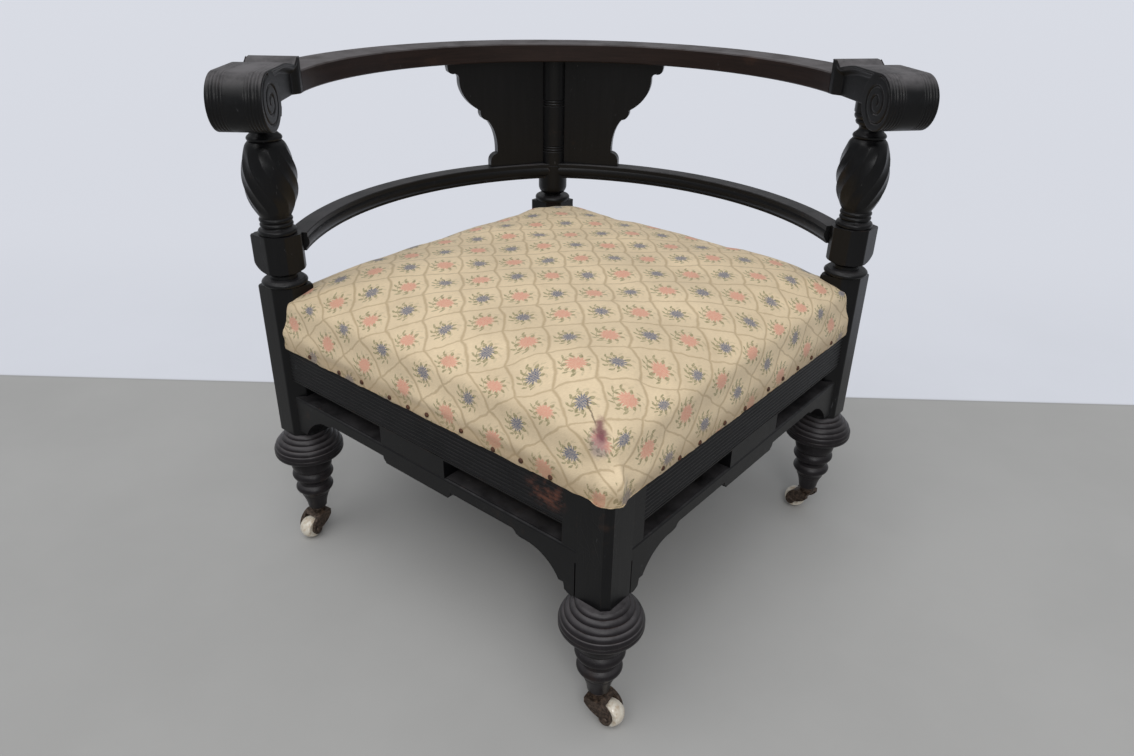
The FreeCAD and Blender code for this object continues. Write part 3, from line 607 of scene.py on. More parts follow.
def make_webbing():
    """Jute: a plain weave of thick threads, brown and dusty."""
    material, sheet = new_material("jute")
    place = sheet.place().mapped(turn=(0, 0, math.radians(45)))
    x, y, _ = place.split()
    weave = sheet.math("SINE", x * 2600.0) * sheet.math("SINE", y * 2600.0) * 0.5 + 0.5
    colour = sheet.mix(weave, JUTE_DARK, JUTE_LIGHT)
    dirt = place.noise(40.0, 5.0, 0.6) * 0.6
    sheet.paint({"Base Color": sheet.mix(dirt, colour, JUTE_DIRT), "Roughness": 0.9,
                 "Normal": weave.bump(0.6, 0.0008)})
    return material


def make_tack_metal():
    """Tack heads: dark rust with a little bright metal left."""
    material, sheet = new_material("tack_rust")
    scale = sheet.place().noise(420.0, 5.0, 0.7)
    sheet.paint({"Base Color": sheet.mix(scale.band(0.35, 0.65), TACK_DARK, TACK_LIGHT),
                 "Metallic": 0.35, "Roughness": scale * 0.4 + 0.35,
                 "Normal": scale.bump(0.5, 0.0004)})
    return material


# ---------------------------------------------------------------- operators

FINISH_OF = (("caster_wheel", "porcelain"), ("caster", "iron"), ("top_rail", "bare"),
             ("lower_rail", "round"), ("arm_scroll", "arm"), ("webbing", "jute"),
             ("base_cloth", "jute"), ("seat_cover", "brocade"), ("seat_stuffing", "brocade"),
             ("seat_rail", "side"), ("apron", "side"), ("bracket", "side"), ("", "upright"))


class CHAIR_OT_finishes(bpy.types.Operator):
    """Make every finish and lay it on the pieces of the frame"""
    bl_idname = "chair.finishes"
    bl_label = "Finishes"

    def execute(self, context):
        for make in (make_timber_group, make_wear_group, make_dust_and_sheen_group, make_sprig_group):
            make()
        finish = settings("finish")
        black = tuple(finish.black_wood)
        quarter, lean = math.radians(90), math.radians(45)
        # Each dust amount below also sets a painted sheen of light on upward faces.
        kinds = {
            "upright": make_wood("ebonised_upright", black, rough=0.30),
            "right_side": make_wood("ebonised_rail_a", black, turn=(quarter, 0.0, lean)),
            "left_side": make_wood("ebonised_rail_b", black, turn=(quarter, 0.0, -lean),
                                   rub=(-0.057, -0.329, 0.283)),
            "round": make_wood("ebonised_round", black, ring=0.36, wear=0.6, dust_and_sheen=0.35),
            "arm": make_wood("worn_arm", black, turn=(quarter, 0.0, 0.0), wear=0.8, dust_and_sheen=0.78),
            "bare": make_wood("bare_top_rail", tuple(finish.rail_wood), ring=0.35, wear=0.7,
                              dust_and_sheen=0.70, rough=0.4, bare=0.1),
            "iron": make_iron(), "porcelain": make_porcelain(), "jute": make_webbing(),
            "brocade": make_brocade(),
        }
        make_wood("worn_foot", np.multiply(black, (3.3, 2.7, 2.7)), wear=0.9, dust_and_sheen=0.42, rough=0.32,
                  bare=0.03)
        make_tack_metal()
        for name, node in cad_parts.items():
            kind = next(kind for start, kind in FINISH_OF if name.startswith(start))
            if kind == "side":
                front, right = "back" not in name, name.endswith("_right")
                kind = "right_side" if front == right else "left_side"
            node.data.materials.clear()
            node.data.materials.append(kinds[kind])
        return {"FINISHED"}


def seat_reach(angle, reach, power):
    """Distance from the middle of the seat to a square outline with rounded corners, by angle."""
    c, s = np.abs(np.cos(angle - math.pi / 4)), np.abs(np.sin(angle - math.pi / 4))
    return reach / (c ** power + s ** power) ** (1.0 / power)


def cushion_profile():
    """Levels from hem to crown: drawn in at the hem, full at the side, domed on top."""
    t = np.linspace(0, 1, 7)[:-1]
    side = np.stack([COVER_OUT + 0.0018 * np.sin(math.pi * t),
                     HEM_LEVEL + (SHOULDER - HEM_LEVEL) * t], -1)
    a = np.radians(np.linspace(0, 90, 22))
    rise = (CROWN_LEVEL - 0.005 - SHOULDER) * np.sin(a) ** 0.92
    crown = np.stack([COVER_OUT * np.cos(a) ** 0.98, SHOULDER + rise], -1)
    return np.vstack([side, crown[:-1], [[0.0005, crown[-1, 1]]]])


def inflate(piece, swell, pressure, frames):
    """Blow the pad up as cloth with its hem held, then let no point move more than the swell."""
    mesh = piece.data
    before = read(mesh.vertices, "co", 3)
    group = piece.vertex_groups.new(name="held")
    group.add([int(i) for i in np.flatnonzero(before[:, 2] < HELD_LEVEL)], 1.0, "REPLACE")
    cloth = piece.modifiers.new("pad", "CLOTH")
    rules = {"quality": 6, "mass": 0.3, "tension_stiffness": 18, "compression_stiffness": 18,
             "shear_stiffness": 8, "bending_stiffness": 2.0, "use_pressure": True,
             "uniform_pressure_force": pressure, "vertex_group_mass": "held"}
    for rule, value in rules.items():
        setattr(cloth.settings, rule, value)
    cloth.settings.effector_weights.gravity = 0
    cloth.collision_settings.use_collision = False
    cloth.point_cache.frame_end = frames
    scene = bpy.context.scene
    for step in range(1, frames + 1):
        scene.frame_set(step)
    blown = piece.evaluated_get(bpy.context.evaluated_depsgraph_get()).data
    moved = read(blown.vertices, "co", 3) - before
    length = np.linalg.norm(moved, axis=1, keepdims=True) + 1e-9
    piece.modifiers.remove(cloth)
    scene.frame_set(1)
    move_points(mesh, before + moved / length * swell * np.tanh(length / swell))


def side_frame(points):
    """For each point: its side of the seat, how far along it and out, and that side's heading."""
    side = np.floor(np.arctan2(points[:, 1], points[:, 0]) / (math.pi / 2)).astype(int)
    heading = (side + 0.5) * math.pi / 2
    out = points[:, 0] * np.cos(heading) + points[:, 1] * np.sin(heading)
    along = -points[:, 0] * np.sin(heading) + points[:, 1] * np.cos(heading)
    return side, along, out, heading


def tack_places():
    """Where the tacks are: uneven steps along each side, close under the hem."""
    rng = np.random.default_rng(11)
    places = []
    for side in range(4):
        steps = np.cumsum(rng.uniform(0.030, 0.058, 14))
        along = -HALF_SIDE + 0.03 + steps
        along = along[along < HALF_SIDE - 0.035]
        places += [(side, a, HEM_LEVEL + rng.uniform(0.005, 0.009)) for a in along]
    return np.array(places)


def shape_pad(mesh):
    """Lumps of old stuffing, dips at the posts, pulls at the tacks, and folds: each a bell or a
    wave added to the points."""
    p = read(mesh.vertices, "co", 3).astype(float)
    x, y, z = p.T.copy()
    top = smooth_step(RAIL_TOP + 0.03, RAIL_TOP + 0.06, z)
    lumps = (np.sin(31 * x + 1.3) * np.cos(27 * y - 0.7) + 0.6 * np.sin(47 * x + 39 * y)
             + 0.5 * np.cos(58 * y - 21 * x + 2.0))
    p[:, 2] += top * 0.0012 * lumps
    for px, py in ((SEAT_HALF_DIAGONAL, 0), (-SEAT_HALF_DIAGONAL, 0), (0, SEAT_HALF_DIAGONAL)):
        p[:, 2] -= top * 0.010 * np.exp(-((x - px) ** 2 + (y - py) ** 2) / 0.055 ** 2)
    side, along, out, heading = side_frame(p)
    edge = smooth_step(HALF_SIDE - 0.03, HALF_SIDE + 0.005, out)
    hem = smooth_step(HEM_LEVEL + 0.05, HEM_LEVEL, z) * edge
    pull = sum((side % 4 == number) * np.exp(-((along - place) / 0.009) ** 2)
               for number, place, _ in tack_places())
    inward = edge * smooth_step(HEM_LEVEL + 0.03, HEM_LEVEL, z) * pull * 0.0012 * (1 - hem)
    low = smooth_step(RAIL_TOP + 0.012, RAIL_TOP, z) * (out > HALF_SIDE + 0.004)
    clear = np.maximum(CLEAR_OUT - out, 0) * low
    compass = np.stack([np.cos(heading), np.sin(heading)], -1)
    p[:, :2] += (clear - inward)[:, None] * compass
    nose = (np.abs(x) < 0.010) & (y < -0.34) & (z < RAIL_TOP + 0.008)
    p[:, 1] = np.where(nose, np.minimum(p[:, 1], -NOSE_OUT), p[:, 1])
    fold = np.exp(-((x + 0.004) / 0.006) ** 2) * smooth_step(-0.30, -0.36, y)
    p[:, 1] += fold * 0.0025 * smooth_step(CROWN_LEVEL, HEM_LEVEL, z)
    left = (side == -2) * smooth_step(HALF_SIDE, HALF_SIDE + 0.01, out)
    rise = z - (HEM_LEVEL + 0.019 + 0.002 * np.sin(along * 23))
    tuck = np.exp(-(rise / 0.0042) ** 2) - 0.8 * np.exp(-((rise + 0.0075) / 0.0038) ** 2)
    tuck *= left * 0.0019 * (0.75 + 0.25 * np.sin(along * 41 + 1.0))
    p[:, :2] += tuck[:, None] * compass
    move_points(mesh, p)


def open_underside(piece):
    """Take away the flat base, so that the cover ends at an uneven hem as tacked cloth does."""
    mesh = piece.data
    under = ((read(mesh.polygons, "normal", 3)[:, 2] < -0.6)
             & (read(mesh.polygons, "center", 3)[:, 2] < RAIL_TOP))
    keep = ~under & (read(mesh.polygons, "loop_total", kind=np.int32) == 4)
    starts = read(mesh.polygons, "loop_start", kind=np.int32)[keep]
    faces = read(mesh.loops, "vertex_index", kind=np.int32)[starts[:, None] + np.arange(4)]
    used, faces = np.unique(faces, return_inverse=True)
    points, faces = read(mesh.vertices, "co", 3)[used].astype(float), faces.reshape(-1, 4)
    edges = np.sort(np.stack([faces, np.roll(faces, -1, 1)], -1).reshape(-1, 2), axis=1)
    edges, uses = np.unique(edges, axis=0, return_counts=True)
    rim = np.unique(edges[uses == 1])
    side, along, _, _ = side_frame(points[rim])
    points[rim, 2] = (HEM_LEVEL + 0.0016 + 0.0011 * np.sin(along * 97 + 2 * side)
                      + 0.0007 * np.sin(along * 331 + side) + 0.0005 * np.sin(along * 790))
    opened = new_piece("cover_shell", points, faces, sharp=75)
    piece.data = opened.data
    bpy.data.objects.remove(opened)


def map_cloth(mesh, cloth):
    """The cloth map: flat over the top, folded down over each side, in cells of the pattern."""
    heading = np.repeat(side_frame(read(mesh.polygons, "center", 3))[3], 4)
    at = read(mesh.vertices, "co", 3)[read(mesh.loops, "vertex_index", kind=np.int32)]
    out = at[:, 0] * np.cos(heading) + at[:, 1] * np.sin(heading)
    fold = smooth_step(RAIL_OUT - 0.03, RAIL_OUT - 0.004, out)
    drop = np.clip(FOLD_LEVEL - at[:, 2], 0, None) * fold
    u = at[:, 0] + np.cos(heading) * drop
    v = at[:, 1] + np.sin(heading) * drop
    c, s = math.cos(PATTERN_LEAN), math.sin(PATTERN_LEAN)
    across = (u * c + v * s) / cloth.cell_width + PATTERN_START[0]
    upward = (v * c - u * s) / cloth.cell_height + PATTERN_START[1]
    layer = mesh.uv_layers.new(name="cloth")
    layer.data.foreach_set("uv", np.stack([across, upward], -1).astype(np.float32).ravel())


class CHAIR_OT_cushion(bpy.types.Operator):
    """Make the stuffed seat with its brocade cover"""
    bl_idname = "chair.cushion"
    bl_label = "Stuffed seat"

    def execute(self, context):
        cloth = settings("cloth")
        around = np.linspace(-math.pi, math.pi, 240, endpoint=False)
        profile = cushion_profile()
        power = np.interp(profile[:, 1:], (HEM_LEVEL, RAIL_TOP + 0.04, CROWN_LEVEL), CORNER_POWERS)
        top = turned(seat_reach(around, profile[:, :1], power), around, profile[:, 1:])
        low = np.linspace(0.96, 0.001, 12)[::-1, None, None]
        base = top[0] * (1.0, 1.0, 0.0) * low + (0.0, 0.0, HEM_LEVEL)
        piece = tube("seat_cushion", np.concatenate([base, top]))
        remesh = piece.modifiers.new("even", "REMESH")
        remesh.mode = "VOXEL"
        remesh.voxel_size = cloth.voxel
        even = piece.evaluated_get(context.evaluated_depsgraph_get())
        even = bpy.data.meshes.new_from_object(even)
        piece.modifiers.remove(remesh)
        piece.data = even
        inflate(piece, cloth.swell, cloth.pressure, cloth.frames)
        shape_pad(piece.data)
        open_underside(piece)
        map_cloth(piece.data, cloth)
        wall = piece.modifiers.new("wall", "SOLIDIFY")
        wall.thickness = 0.0012
        wall.offset = -1.0
        smooth = piece.modifiers.new("smooth", "SUBSURF")
        smooth.levels = smooth.render_levels = 1
        dress(piece, "brocade_cloth", "brocade", "seat_cover", "seat_stuffing")
        return {"FINISHED"}


class CHAIR_OT_tacks(bpy.types.Operator):
    """Make the tacks along the hem of the cover"""
    bl_idname = "chair.tacks"
    bl_label = "Tacks"

    def execute(self, context):
        """Each tack is a dome of five rings, carried to its place on its side of the seat."""
        radius = settings("cloth").tack_radius
        places = tack_places()
        around = circle(10)
        spread = np.array([[0.8], [1.0], [0.93], [0.6], [0.08]]) * radius
        height = np.array([[-0.35], [0.0], [0.22], [0.5], [0.58]]) * radius
        head = turned(spread, around, height).reshape(-1, 3)
        heading = (places[:, 0] + 0.5) * math.pi / 2
        out = np.stack([np.cos(heading), np.sin(heading), 0 * heading], -1)
        along = np.stack([-np.sin(heading), np.cos(heading), 0 * heading], -1)
        up = np.array([0, 0, 1.0])
        centre = out * TACK_OUT + along * places[:, 1:2] + up * places[:, 2:3]
        points = (centre[:, None] + along[:, None] * head[None, :, :1] + up * head[None, :, 1:2]
                  + out[:, None] * head[None, :, 2:])
        one = grid_faces(len(spread), len(around), closed=True)
        starts = len(head) * np.arange(len(places))
        ring = np.arange(len(around))
        ends = (ring[::-1], len(head) - len(ring) + ring)
        caps = [end + start for start in starts for end in ends]
        piece = new_piece("cover_tacks", points.reshape(-1, 3),
                          (one + starts[:, None, None]).reshape(-1, 4), 60, caps)
        dress(piece, "tack_rust", "caster_iron")
        return {"FINISHED"}


def post_rows():
    """Rows of (radius limit, height, section): 0 is round, 1 the seat block, 2 the small block."""
    free, ring, small, b = 0.05, POST_BLOCK_TOP, SMALL_BLOCK, VASE_FOOT
    block = [(free, h) for h in np.linspace(POST_BOTTOM, ring - 0.003, 12)]
    block += [(0.0325, ring - 0.0012), (0.0300, ring)]
    bead = bulge((HALF_STOCK, ring), (HALF_STOCK, ring + 0.009), 0.004, 12)
    bowl = through([(0.0165, ring + 0.0093), (0.0162, ring + 0.0146), (0.0215, ring + 0.0170),
                    (0.0275, ring + 0.0208), (0.0322, ring + 0.0262), (0.0352, small + 0.002)], 5)
    square = [(free, h) for h in np.linspace(small + 0.004, b - 0.0025, 6)]
    square += [(0.0322, b - 0.0008), (0.0295, b)]
    turning = np.vstack([
        bulge((0.0216, b + 0.0002), (0.0216, b + 0.0066), 0.0014, 10, 0.7),
        through([(0.0206, b + 0.0069), (0.0186, b + 0.0080), (0.0182, b + 0.0091)], 4),
        bulge((0.0180, b + 0.0094), (0.0180, b + 0.0150), 0.0018, 10, 0.8),
        bulge((0.0180, b + 0.0154), (0.0182, b + 0.0212), 0.0018, 10, 0.8),
        through([(0.0188, b + 0.0230), (0.0225, b + 0.0295), (0.0262, b + 0.037),
                 (0.0292, b + 0.046), (0.0310, b + 0.056), (0.0317, b + 0.067),
                 (0.0311, b + 0.077), (0.0294, b + 0.087), (0.0265, b + 0.097),
                 (0.0230, b + 0.106), (0.0194, b + 0.1105)], 7),
        bulge((0.0186, b + 0.111), (0.0186, b + 0.117), 0.0017, 8),
        through([(0.0178, b + 0.1175), (0.0150, b + 0.1205), (0.0142, b + 0.124),
                 (0.0165, b + 0.1275)], 4),
        bulge((0.0182, b + 0.128), (0.0182, b + 0.134), 0.0014, 8),
        bulge((0.0206, b + 0.1345), (0.0206, b + 0.1415), 0.0014, 8),
        [(0.0226, b + 0.142), (0.0228, b + 0.143), (0.0228, ARM_BOTTOM - 0.0005),
         (0.0222, ARM_BOTTOM)]])
    parts = ((block, 1), (bead, 0), (bowl, 2), (square, 2), (turning, 0))
    return np.vstack([np.column_stack([part, np.full(len(part), kind)]) for part, kind in parts])


def block_section(around, planes):
    """Distance to the nearest face of a block by angle, with its arrises slightly rounded."""
    turn, distance = np.array(planes).T[..., None]
    c = np.maximum(np.cos(around - turn), 1e-4)
    return ((c / distance) ** 46).sum(0) ** (-1 / 46)


def make_post(side, sign, carve):
    """The least of a block's outline and a turned radius, by turn and height, with the flutes."""
    radius, height, kind = post_rows().T[..., None]
    around = circle(224)
    faces = [(math.radians(a), HALF_STOCK) for a in (45, 135, 225, 315)]
    front, inner = math.radians(270), math.radians(180 if sign > 0 else 0)
    seat_block = block_section(around, faces + [(front, 0.0219)])
    small_block = block_section(around, faces + [(front, 0.0229), (inner, 0.0276)])
    block = np.minimum(radius, np.where(kind == 1, seat_block, small_block))
    r = np.where(kind == 0, radius, block)
    share = smooth_step(VASE_FOOT + 0.015, VASE_FOOT + 0.115, height)
    window = (smooth_step(VASE_FOOT + 0.026, VASE_FOOT + 0.040, height)
              * smooth_step(VASE_FOOT + 0.108, VASE_FOOT + 0.088, height))
    phase = carve.flute_count / (2 * math.pi) * (sign * around - share * carve.flute_twist) % 1.0
    r = r - (kind == 0) * window * carve.flute_depth * 4 * phase * (1 - phase)
    rings = turned(r, around, height) + (sign * SEAT_HALF_DIAGONAL, 0, 0)
    return tube("post_" + side, rings, 32)


class CHAIR_OT_balusters(bpy.types.Operator):
    """Make the side posts with their spirally fluted vases"""
    bl_idname = "chair.balusters"
    bl_label = "Side posts"

    def execute(self, context):
        for side, sign in (("left", -1), ("right", 1)):
            piece = make_post(side, sign, settings("carving"))
            dress(piece, "ebonised_upright", "ebonised_wood", "side_post_" + side)
        return {"FINISHED"}


def foot_profile(end, ring_depth):
    """A turned profile: taper, two beads, and a ball of rounded rings that climb to the post."""
    top = POST_BOTTOM
    waist, widest = top - 0.0615, top - 0.030
    lines = ((0.0434, widest - 0.0056), (0.0448, widest + 0.0008), (0.0434, widest + 0.0076),
             (0.0394, widest + 0.0137), (0.0338, widest + 0.0194), (0.0286, widest + 0.025),
             (0.0237, top - 0.0002))
    return np.vstack([
        [(0.0090, end), (0.0121, end), (0.0125, end + 0.0006)],
        through([(0.0126, end + 0.001), (0.0140, end + 0.009), (0.0166, end + 0.018),
                 (0.0176, end + 0.0215)], 5),
        through([(0.0186, end + 0.0222), (0.0190, end + 0.0245), (0.0205, end + 0.0275)], 4),
        bulge((0.0206, end + 0.028), (0.0206, end + 0.0425), 0.0046, 14),
        through([(0.0206, end + 0.043), (0.0202, waist - 0.020), (0.0228, waist - 0.0175)], 4),
        bulge((0.0230, waist - 0.017), (0.0230, waist - 0.002), 0.0046, 14),
        [(0.0240, waist - 0.0015), (0.0252, waist - 0.0004)],
        bulge((0.0256, waist), (0.0262, widest - 0.0144), 0.0016, 14, 0.8),
        through([(0.0262, widest - 0.0140), (0.0274, widest - 0.0112), (0.0340, widest - 0.0090),
                 (0.0402, widest - 0.0072), (0.0430, widest - 0.0060)], 4),
        *(bulge(a, b, ring_depth, 14, 0.5) for a, b in zip(lines, lines[1:])),
        [(0.0232, top), (0.0100, top)]])


class CHAIR_OT_feet(bpy.types.Operator):
    """Make the turned feet with their rings"""
    bl_idname = "chair.feet"
    bl_label = "Feet"

    def execute(self, context):
        for name, x, y in (("front", 0, -1), ("left", -1, 0), ("right", 1, 0), ("back", 0, 1)):
            profile = foot_profile(underside("foot_" + name), settings("carving").ring_depth)
            rings = turned(profile[:, :1], circle(128), profile[:, 1:])
            rings = rings + (x * SEAT_HALF_DIAGONAL, y * SEAT_HALF_DIAGONAL, 0)
            dress(tube("turned_foot_" + name, rings), "worn_foot", "ebonised_wood", "foot_" + name)
        return {"FINISHED"}


def arm_outline():
    """Side view of an arm: stations back from the joint to the roll, with upper and lower edge."""
    dip = 0.0065
    roll = -ARM_REACH + ROLL_RADIUS * np.cos(np.radians(np.linspace(4, 178.5, 96)))
    back = np.concatenate([np.linspace(0, -0.021, 24), np.linspace(-0.022, roll[0], 44)[:-1], roll])
    ogee = ARM_TOP - dip * smooth_step(-0.006, -0.021, back)
    sweep = ARM_TOP - dip * np.clip((back + 0.088) / 0.067, 0, 1) + 0.003 * np.sin(
        math.pi * np.clip((-0.021 - back) / 0.067, 0, 1))
    upper = np.where(back > -0.021, ogee, np.minimum(sweep, ARM_TOP))
    arc = np.sqrt(np.maximum(ROLL_RADIUS ** 2 - (back + ARM_REACH) ** 2, 0))
    upper = np.where(back < -ARM_REACH, ROLL_LEVEL + arc, upper)
    meet = -ARM_REACH + math.sqrt(ROLL_RADIUS ** 2 - (ROLL_LEVEL - ARM_BOTTOM) ** 2)
    return back, upper, np.where(back < meet, ROLL_LEVEL - arc, ARM_BOTTOM)


def arm_loop(back, upper, lower, shares):
    """The outline as one closed loop of (back, up), with the outward normal at each point."""
    front = np.linspace(upper[-1], lower[-1], FRONT_STEPS + 2)[1:-1]
    rear = lower[0] + (upper[0] - lower[0]) * shares[1:-1]
    sides = ((back, upper), (back[-1] + 0 * front, front), (back[::-1], lower[::-1]),
             (0 * rear, rear))
    loop = np.vstack([np.stack(side, -1) for side in sides])
    tangent = np.roll(loop, -1, 0) - np.roll(loop, 1, 0)
    normal = np.stack([-tangent[:, 1], tangent[:, 0]], -1)
    normal /= np.linalg.norm(normal, axis=1, keepdims=True) + 1e-12
    inward = (normal * (loop - loop.mean(0))).sum(1) < 0
    return loop, normal * np.where(inward, -1, 1)[:, None]


def arm_hollow(back, up, upper, carve, inside):
    """Depth cut into an end face: a spiral line on the roll and, inside, a cove below the edge."""
    away = np.hypot(back + ARM_REACH, up - ROLL_LEVEL)
    turn = (np.arctan2(-(back + ARM_REACH), up - ROLL_LEVEL) / (2 * math.pi)) % 1.0
    wind = (ROLL_RADIUS - 0.0035 - away) / carve.volute_pitch - turn
    near = np.abs(wind - np.round(wind)) * carve.volute_pitch
    line = np.exp(-(near / 0.00085) ** 2) * (np.round(wind) > -0.5) * (away > 0.0035)
    cut = line * carve.volute_depth * smooth_step(ROLL_RADIUS, ROLL_RADIUS - 0.001, away)
    if inside:
        under = smooth_step(0.0028, 0.0115, upper - up) * smooth_step(-0.008, -0.020, back)
        clear = smooth_step(ROLL_RADIUS - 0.0002, ROLL_RADIUS + 0.0025, away)
        edge = np.exp(-((upper - up - 0.0030) / 0.0007) ** 2) * smooth_step(-0.02, -0.03, back)
        cut = cut + carve.arm_hollow * under * clear + 0.0008 * edge * clear
    return cut


def arm_wall(loop, normal, back, upper, carve):
    """The wall across the arm: the loop, drawn in at both edges and under its reeds."""
    soft = 0.0013
    edge = soft * (1 - np.cos(np.radians([0, 25, 50, 70, 90])))
    flat = np.linspace(-ARM_HALF + 0.0019, ARM_HALF - 0.0019, 86)
    across = np.concatenate([-ARM_HALF + edge, flat, (ARM_HALF - edge)[::-1]])
    depth = np.maximum(np.abs(across) - ARM_HALF + soft, 0)
    inset = soft - np.sqrt(np.maximum(soft ** 2 - depth ** 2, 0))
    wave = np.cos(2 * math.pi * (ARM_HALF - np.abs(across) - 0.0025) / carve.reed_pitch)
    group = smooth_step(0.0085, 0.0075, np.abs(np.abs(across) - ARM_HALF + 0.0105))
    reeds = (0.5 - 0.5 * wave) ** 3 * group * carve.reed_depth
    reach = smooth_step(-0.055, -0.075, loop[:, 0]) * (loop[:, 1] > ARM_BOTTOM - 0.02)
    drawn = loop - normal * (inset[:, None] + reeds[:, None] * reach)[..., None]
    level = np.interp(-loop[:, 0], -back, upper)
    face = -ARM_HALF + arm_hollow(loop[:, 0], loop[:, 1], level, carve, True)
    x = face + (ARM_HALF - face) * ((across + ARM_HALF) / (2 * ARM_HALF))[:, None]
    return np.concatenate([x[..., None], drawn], -1)


def merge_points(points, faces):
    """Weld points that lie on each other, so that grids made one by one share their seams."""
    _, first, same = np.unique(np.round(points * 2e5), axis=0, return_index=True,
                               return_inverse=True)
    return points[first], same.reshape(-1)[faces]


def make_arm(side, sign, carve):
    """A wall round the outline and two end faces on the same stations, welded at the edges."""
    back, upper, lower = arm_outline()
    shares = 0.5 - 0.5 * np.cos(np.linspace(0, math.pi, 72))
    wall = arm_wall(*arm_loop(back, upper, lower, shares), back, upper, carve)
    count = len(back)
    grids, quads = [wall.reshape(-1, 3)], [grid_faces(*wall.shape[:2], closed=True)]
    for rim, inside in ((wall[0], True), (wall[-1], False)):
        top, bottom = rim[:count], rim[count + FRONT_STEPS:][:count][::-1]
        grid = bottom + (top - bottom) * shares[:, None, None]
        grid[1:-1, 0] = rim[2 * count + FRONT_STEPS:]
        level = np.interp(-grid[..., 1], -back, upper)
        face = ARM_HALF - arm_hollow(grid[..., 1], grid[..., 2], level, carve, inside)
        grid[1:-1, 1:, 0] = (-face if inside else face)[1:-1, 1:]
        own = grid_faces(*grid.shape[:2], start=sum(map(len, grids)))
        quads.append(own if inside else own[:, ::-1])
        grids.append(grid.reshape(-1, 3))
    points, faces = merge_points(np.vstack(grids), np.vstack(quads))
    x = points[:, 0] * math.cos(ARM_SPLAY) - points[:, 1] * math.sin(ARM_SPLAY) + ARM_JOINT[0]
    y = points[:, 0] * math.sin(ARM_SPLAY) + points[:, 1] * math.cos(ARM_SPLAY) + ARM_JOINT[1]
    placed = np.stack([sign * x, y, points[:, 2]], -1)
    return new_piece("scrolled_arm_" + side, placed, faces if sign > 0 else faces[:, ::-1], 38)


class CHAIR_OT_arms(bpy.types.Operator):
    """Make the scrolled arms with their volutes, coves and fine reeds"""
    bl_idname = "chair.arms"
    bl_label = "Scrolled arms"

    def execute(self, context):
        for side, sign in (("left", -1), ("right", 1)):
            piece = make_arm(side, sign, settings("carving"))
            dress(piece, "worn_arm", "ebonised_wood", "arm_scroll_" + side)
        return {"FINISHED"}


def make_floor(scene, stage):
    """One flat sheet: the floor up to a seam with a painted line of corner shade, and beyond it a
    paler ground that glows a little.
    """
    mesh = bpy.data.meshes.new("floor")
    size = 30.0
    mesh.from_pydata([(-size, -size, 0), (size, -size, 0), (size, size, 0), (-size, size, 0)], [],
                     [(0, 1, 2, 3)])
    floor = bpy.data.objects.new("floor", mesh)
    scene.collection.objects.link(floor)
    material, sheet = new_material("floor_paint")
    place = sheet.place()
    _, y, _ = place.mapped(turn=(0, 0, -stage.wall_turn)).split()
    beyond = y.band(stage.wall_distance - 0.002, stage.wall_distance + 0.002)
    # Painted shade: a thin darker line along the seam, for the corner where the backdrop meets the
    # floor.
    seam = abs(y - stage.wall_distance).band(0.007, 0.001)
    ground = sheet.mix(beyond, stage.floor_colour, stage.wall_colour)
    ground = sheet.mix(seam * 0.35, ground, (0.2, 0.2, 0.2))
    shade = place.noise(2.5, 5.0, 0.6).band(0.3, 0.7) * 0.07 + 0.965
    ground = sheet.mix(1.0, ground, shade, "MULTIPLY")
    far = y.band(stage.wall_distance, stage.wall_distance + 0.9)
    glow = beyond * (far * 0.45 + 0.55)
    path = sheet.outputs(sheet.node("ShaderNodeLightPath"))
    seen = sheet.math("MAXIMUM", path["Is Camera Ray"], path["Is Glossy Ray"])
    sheet.paint({"Base Color": sheet.mix(glow, ground, BLACK), "Roughness": 0.75,
                 "Emission Color": sheet.mix(glow * seen, BLACK, stage.wall_colour),
                 "Emission Strength": 1.0})
    floor.data.materials.append(material)


def make_world(scene):
    """A pale even world."""
    scene.world = bpy.data.worlds.new("room")
    scene.world.use_nodes = True
    tree = scene.world.node_tree
    Sheet(tree).fill(tree.nodes["Background"], {"Color": (0.93, 0.96, 1.0), "Strength": 0.43})


def make_lamps(scene):
    """A very broad sun from above and a soft panel over the camera."""
    for name, kind, place, target, width, power in (
            ("skylight", "SUN", (-0.5, -0.9, 2.4), (0, 0, 0), ("angle", math.radians(62)), 1.6),
            ("panel", "AREA", (0.05, -2.7, 2.25), (0, 0, 0.45), ("size", 0.75), 20.0)):
        light = bpy.data.lights.new(name, kind)
        setattr(light, *width)
        light.energy = power
        lamp = bpy.data.objects.new(name, light)
        scene.collection.objects.link(lamp)
        lamp.location = place
        lamp.rotation_euler = (Vector(target) - Vector(place)).to_track_quat("-Z", "Y").to_euler()


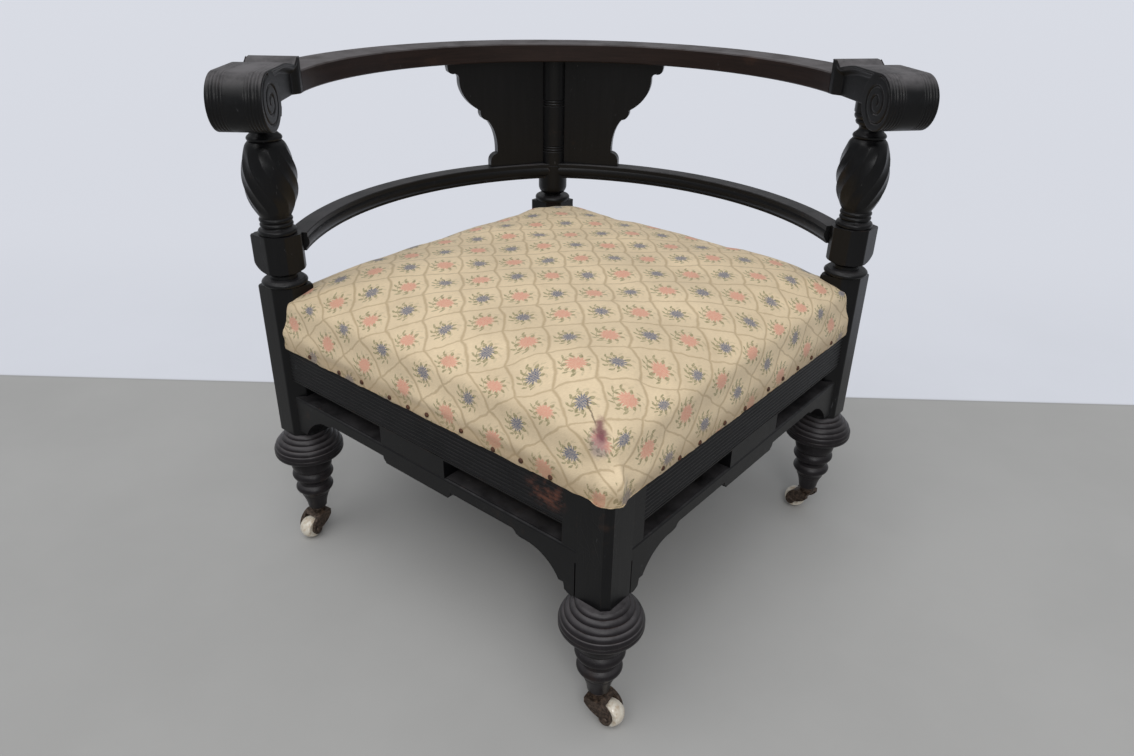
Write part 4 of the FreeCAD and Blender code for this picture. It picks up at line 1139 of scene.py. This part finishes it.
def make_camera(scene, stage):
    """A camera from its heading, dip and roll, with the lens that the frame's pixels give."""
    data = bpy.data.cameras.new("camera")
    data.sensor_fit = "HORIZONTAL"
    data.sensor_width = 36.0
    data.lens = data.sensor_width * stage.focal_pixels / stage.frame_pixels
    data.clip_start = 0.05
    camera = bpy.data.objects.new("camera", data)
    scene.collection.objects.link(camera)
    turn = (Matrix.Rotation(-stage.camera_heading, 4, "Z")
            @ Matrix.Rotation(math.pi / 2 - stage.camera_dip, 4, "X")
            @ Matrix.Rotation(stage.camera_roll, 4, "Z"))
    camera.matrix_world = Matrix.Translation(Vector(stage.camera_place)) @ turn
    scene.camera = camera


class CHAIR_OT_stage(bpy.types.Operator):
    """Set up the floor, the lamps and the camera"""
    bl_idname = "chair.stage"
    bl_label = "Floor, lamps and camera"

    def execute(self, context):
        context.scene.view_settings.view_transform = "Standard"
        make_floor(context.scene, settings("stage"))
        make_world(context.scene)
        make_lamps(context.scene)
        make_camera(context.scene, settings("stage"))
        return {"FINISHED"}


GROUPS = {"finish": ChairFinish, "cloth": ChairCloth, "carving": ChairCarving, "stage": ChairStage}
OPERATORS = (CHAIR_OT_finishes, CHAIR_OT_cushion, CHAIR_OT_tacks, CHAIR_OT_balusters, CHAIR_OT_feet,
             CHAIR_OT_arms, CHAIR_OT_stage)


class CHAIR_PT_panel(bpy.types.Panel):
    """Lists every piece that can be made, and every setting"""
    bl_label = "Corner chair"
    bl_idname = "CHAIR_PT_panel"
    bl_space_type = "VIEW_3D"
    bl_region_type = "UI"
    bl_category = "Chair"

    def draw(self, context):
        for operator in OPERATORS:
            self.layout.operator(operator.bl_idname)
        for group in GROUPS:
            owner = getattr(context.scene, "chair_" + group)
            for key in owner.bl_rna.properties.keys():
                if key not in ("rna_type", "name"):
                    self.layout.prop(owner, key)


CLASSES = (*GROUPS.values(), *OPERATORS, CHAIR_PT_panel)


def register():
    for kind in CLASSES:
        bpy.utils.register_class(kind)
    for name, kind in GROUPS.items():
        setattr(bpy.types.Scene, "chair_" + name, PointerProperty(type=kind))


def unregister():
    for name in GROUPS:
        delattr(bpy.types.Scene, "chair_" + name)
    for kind in reversed(CLASSES):
        bpy.utils.unregister_class(kind)


def main():
    register()
    bpy.ops.chair.finishes()
    bpy.ops.chair.cushion()
    bpy.ops.chair.tacks()
    bpy.ops.chair.balusters()
    bpy.ops.chair.feet()
    bpy.ops.chair.arms()
    bpy.ops.chair.stage()
    bpy.context.view_layer.update()


if __name__ == "__main__":
    main()
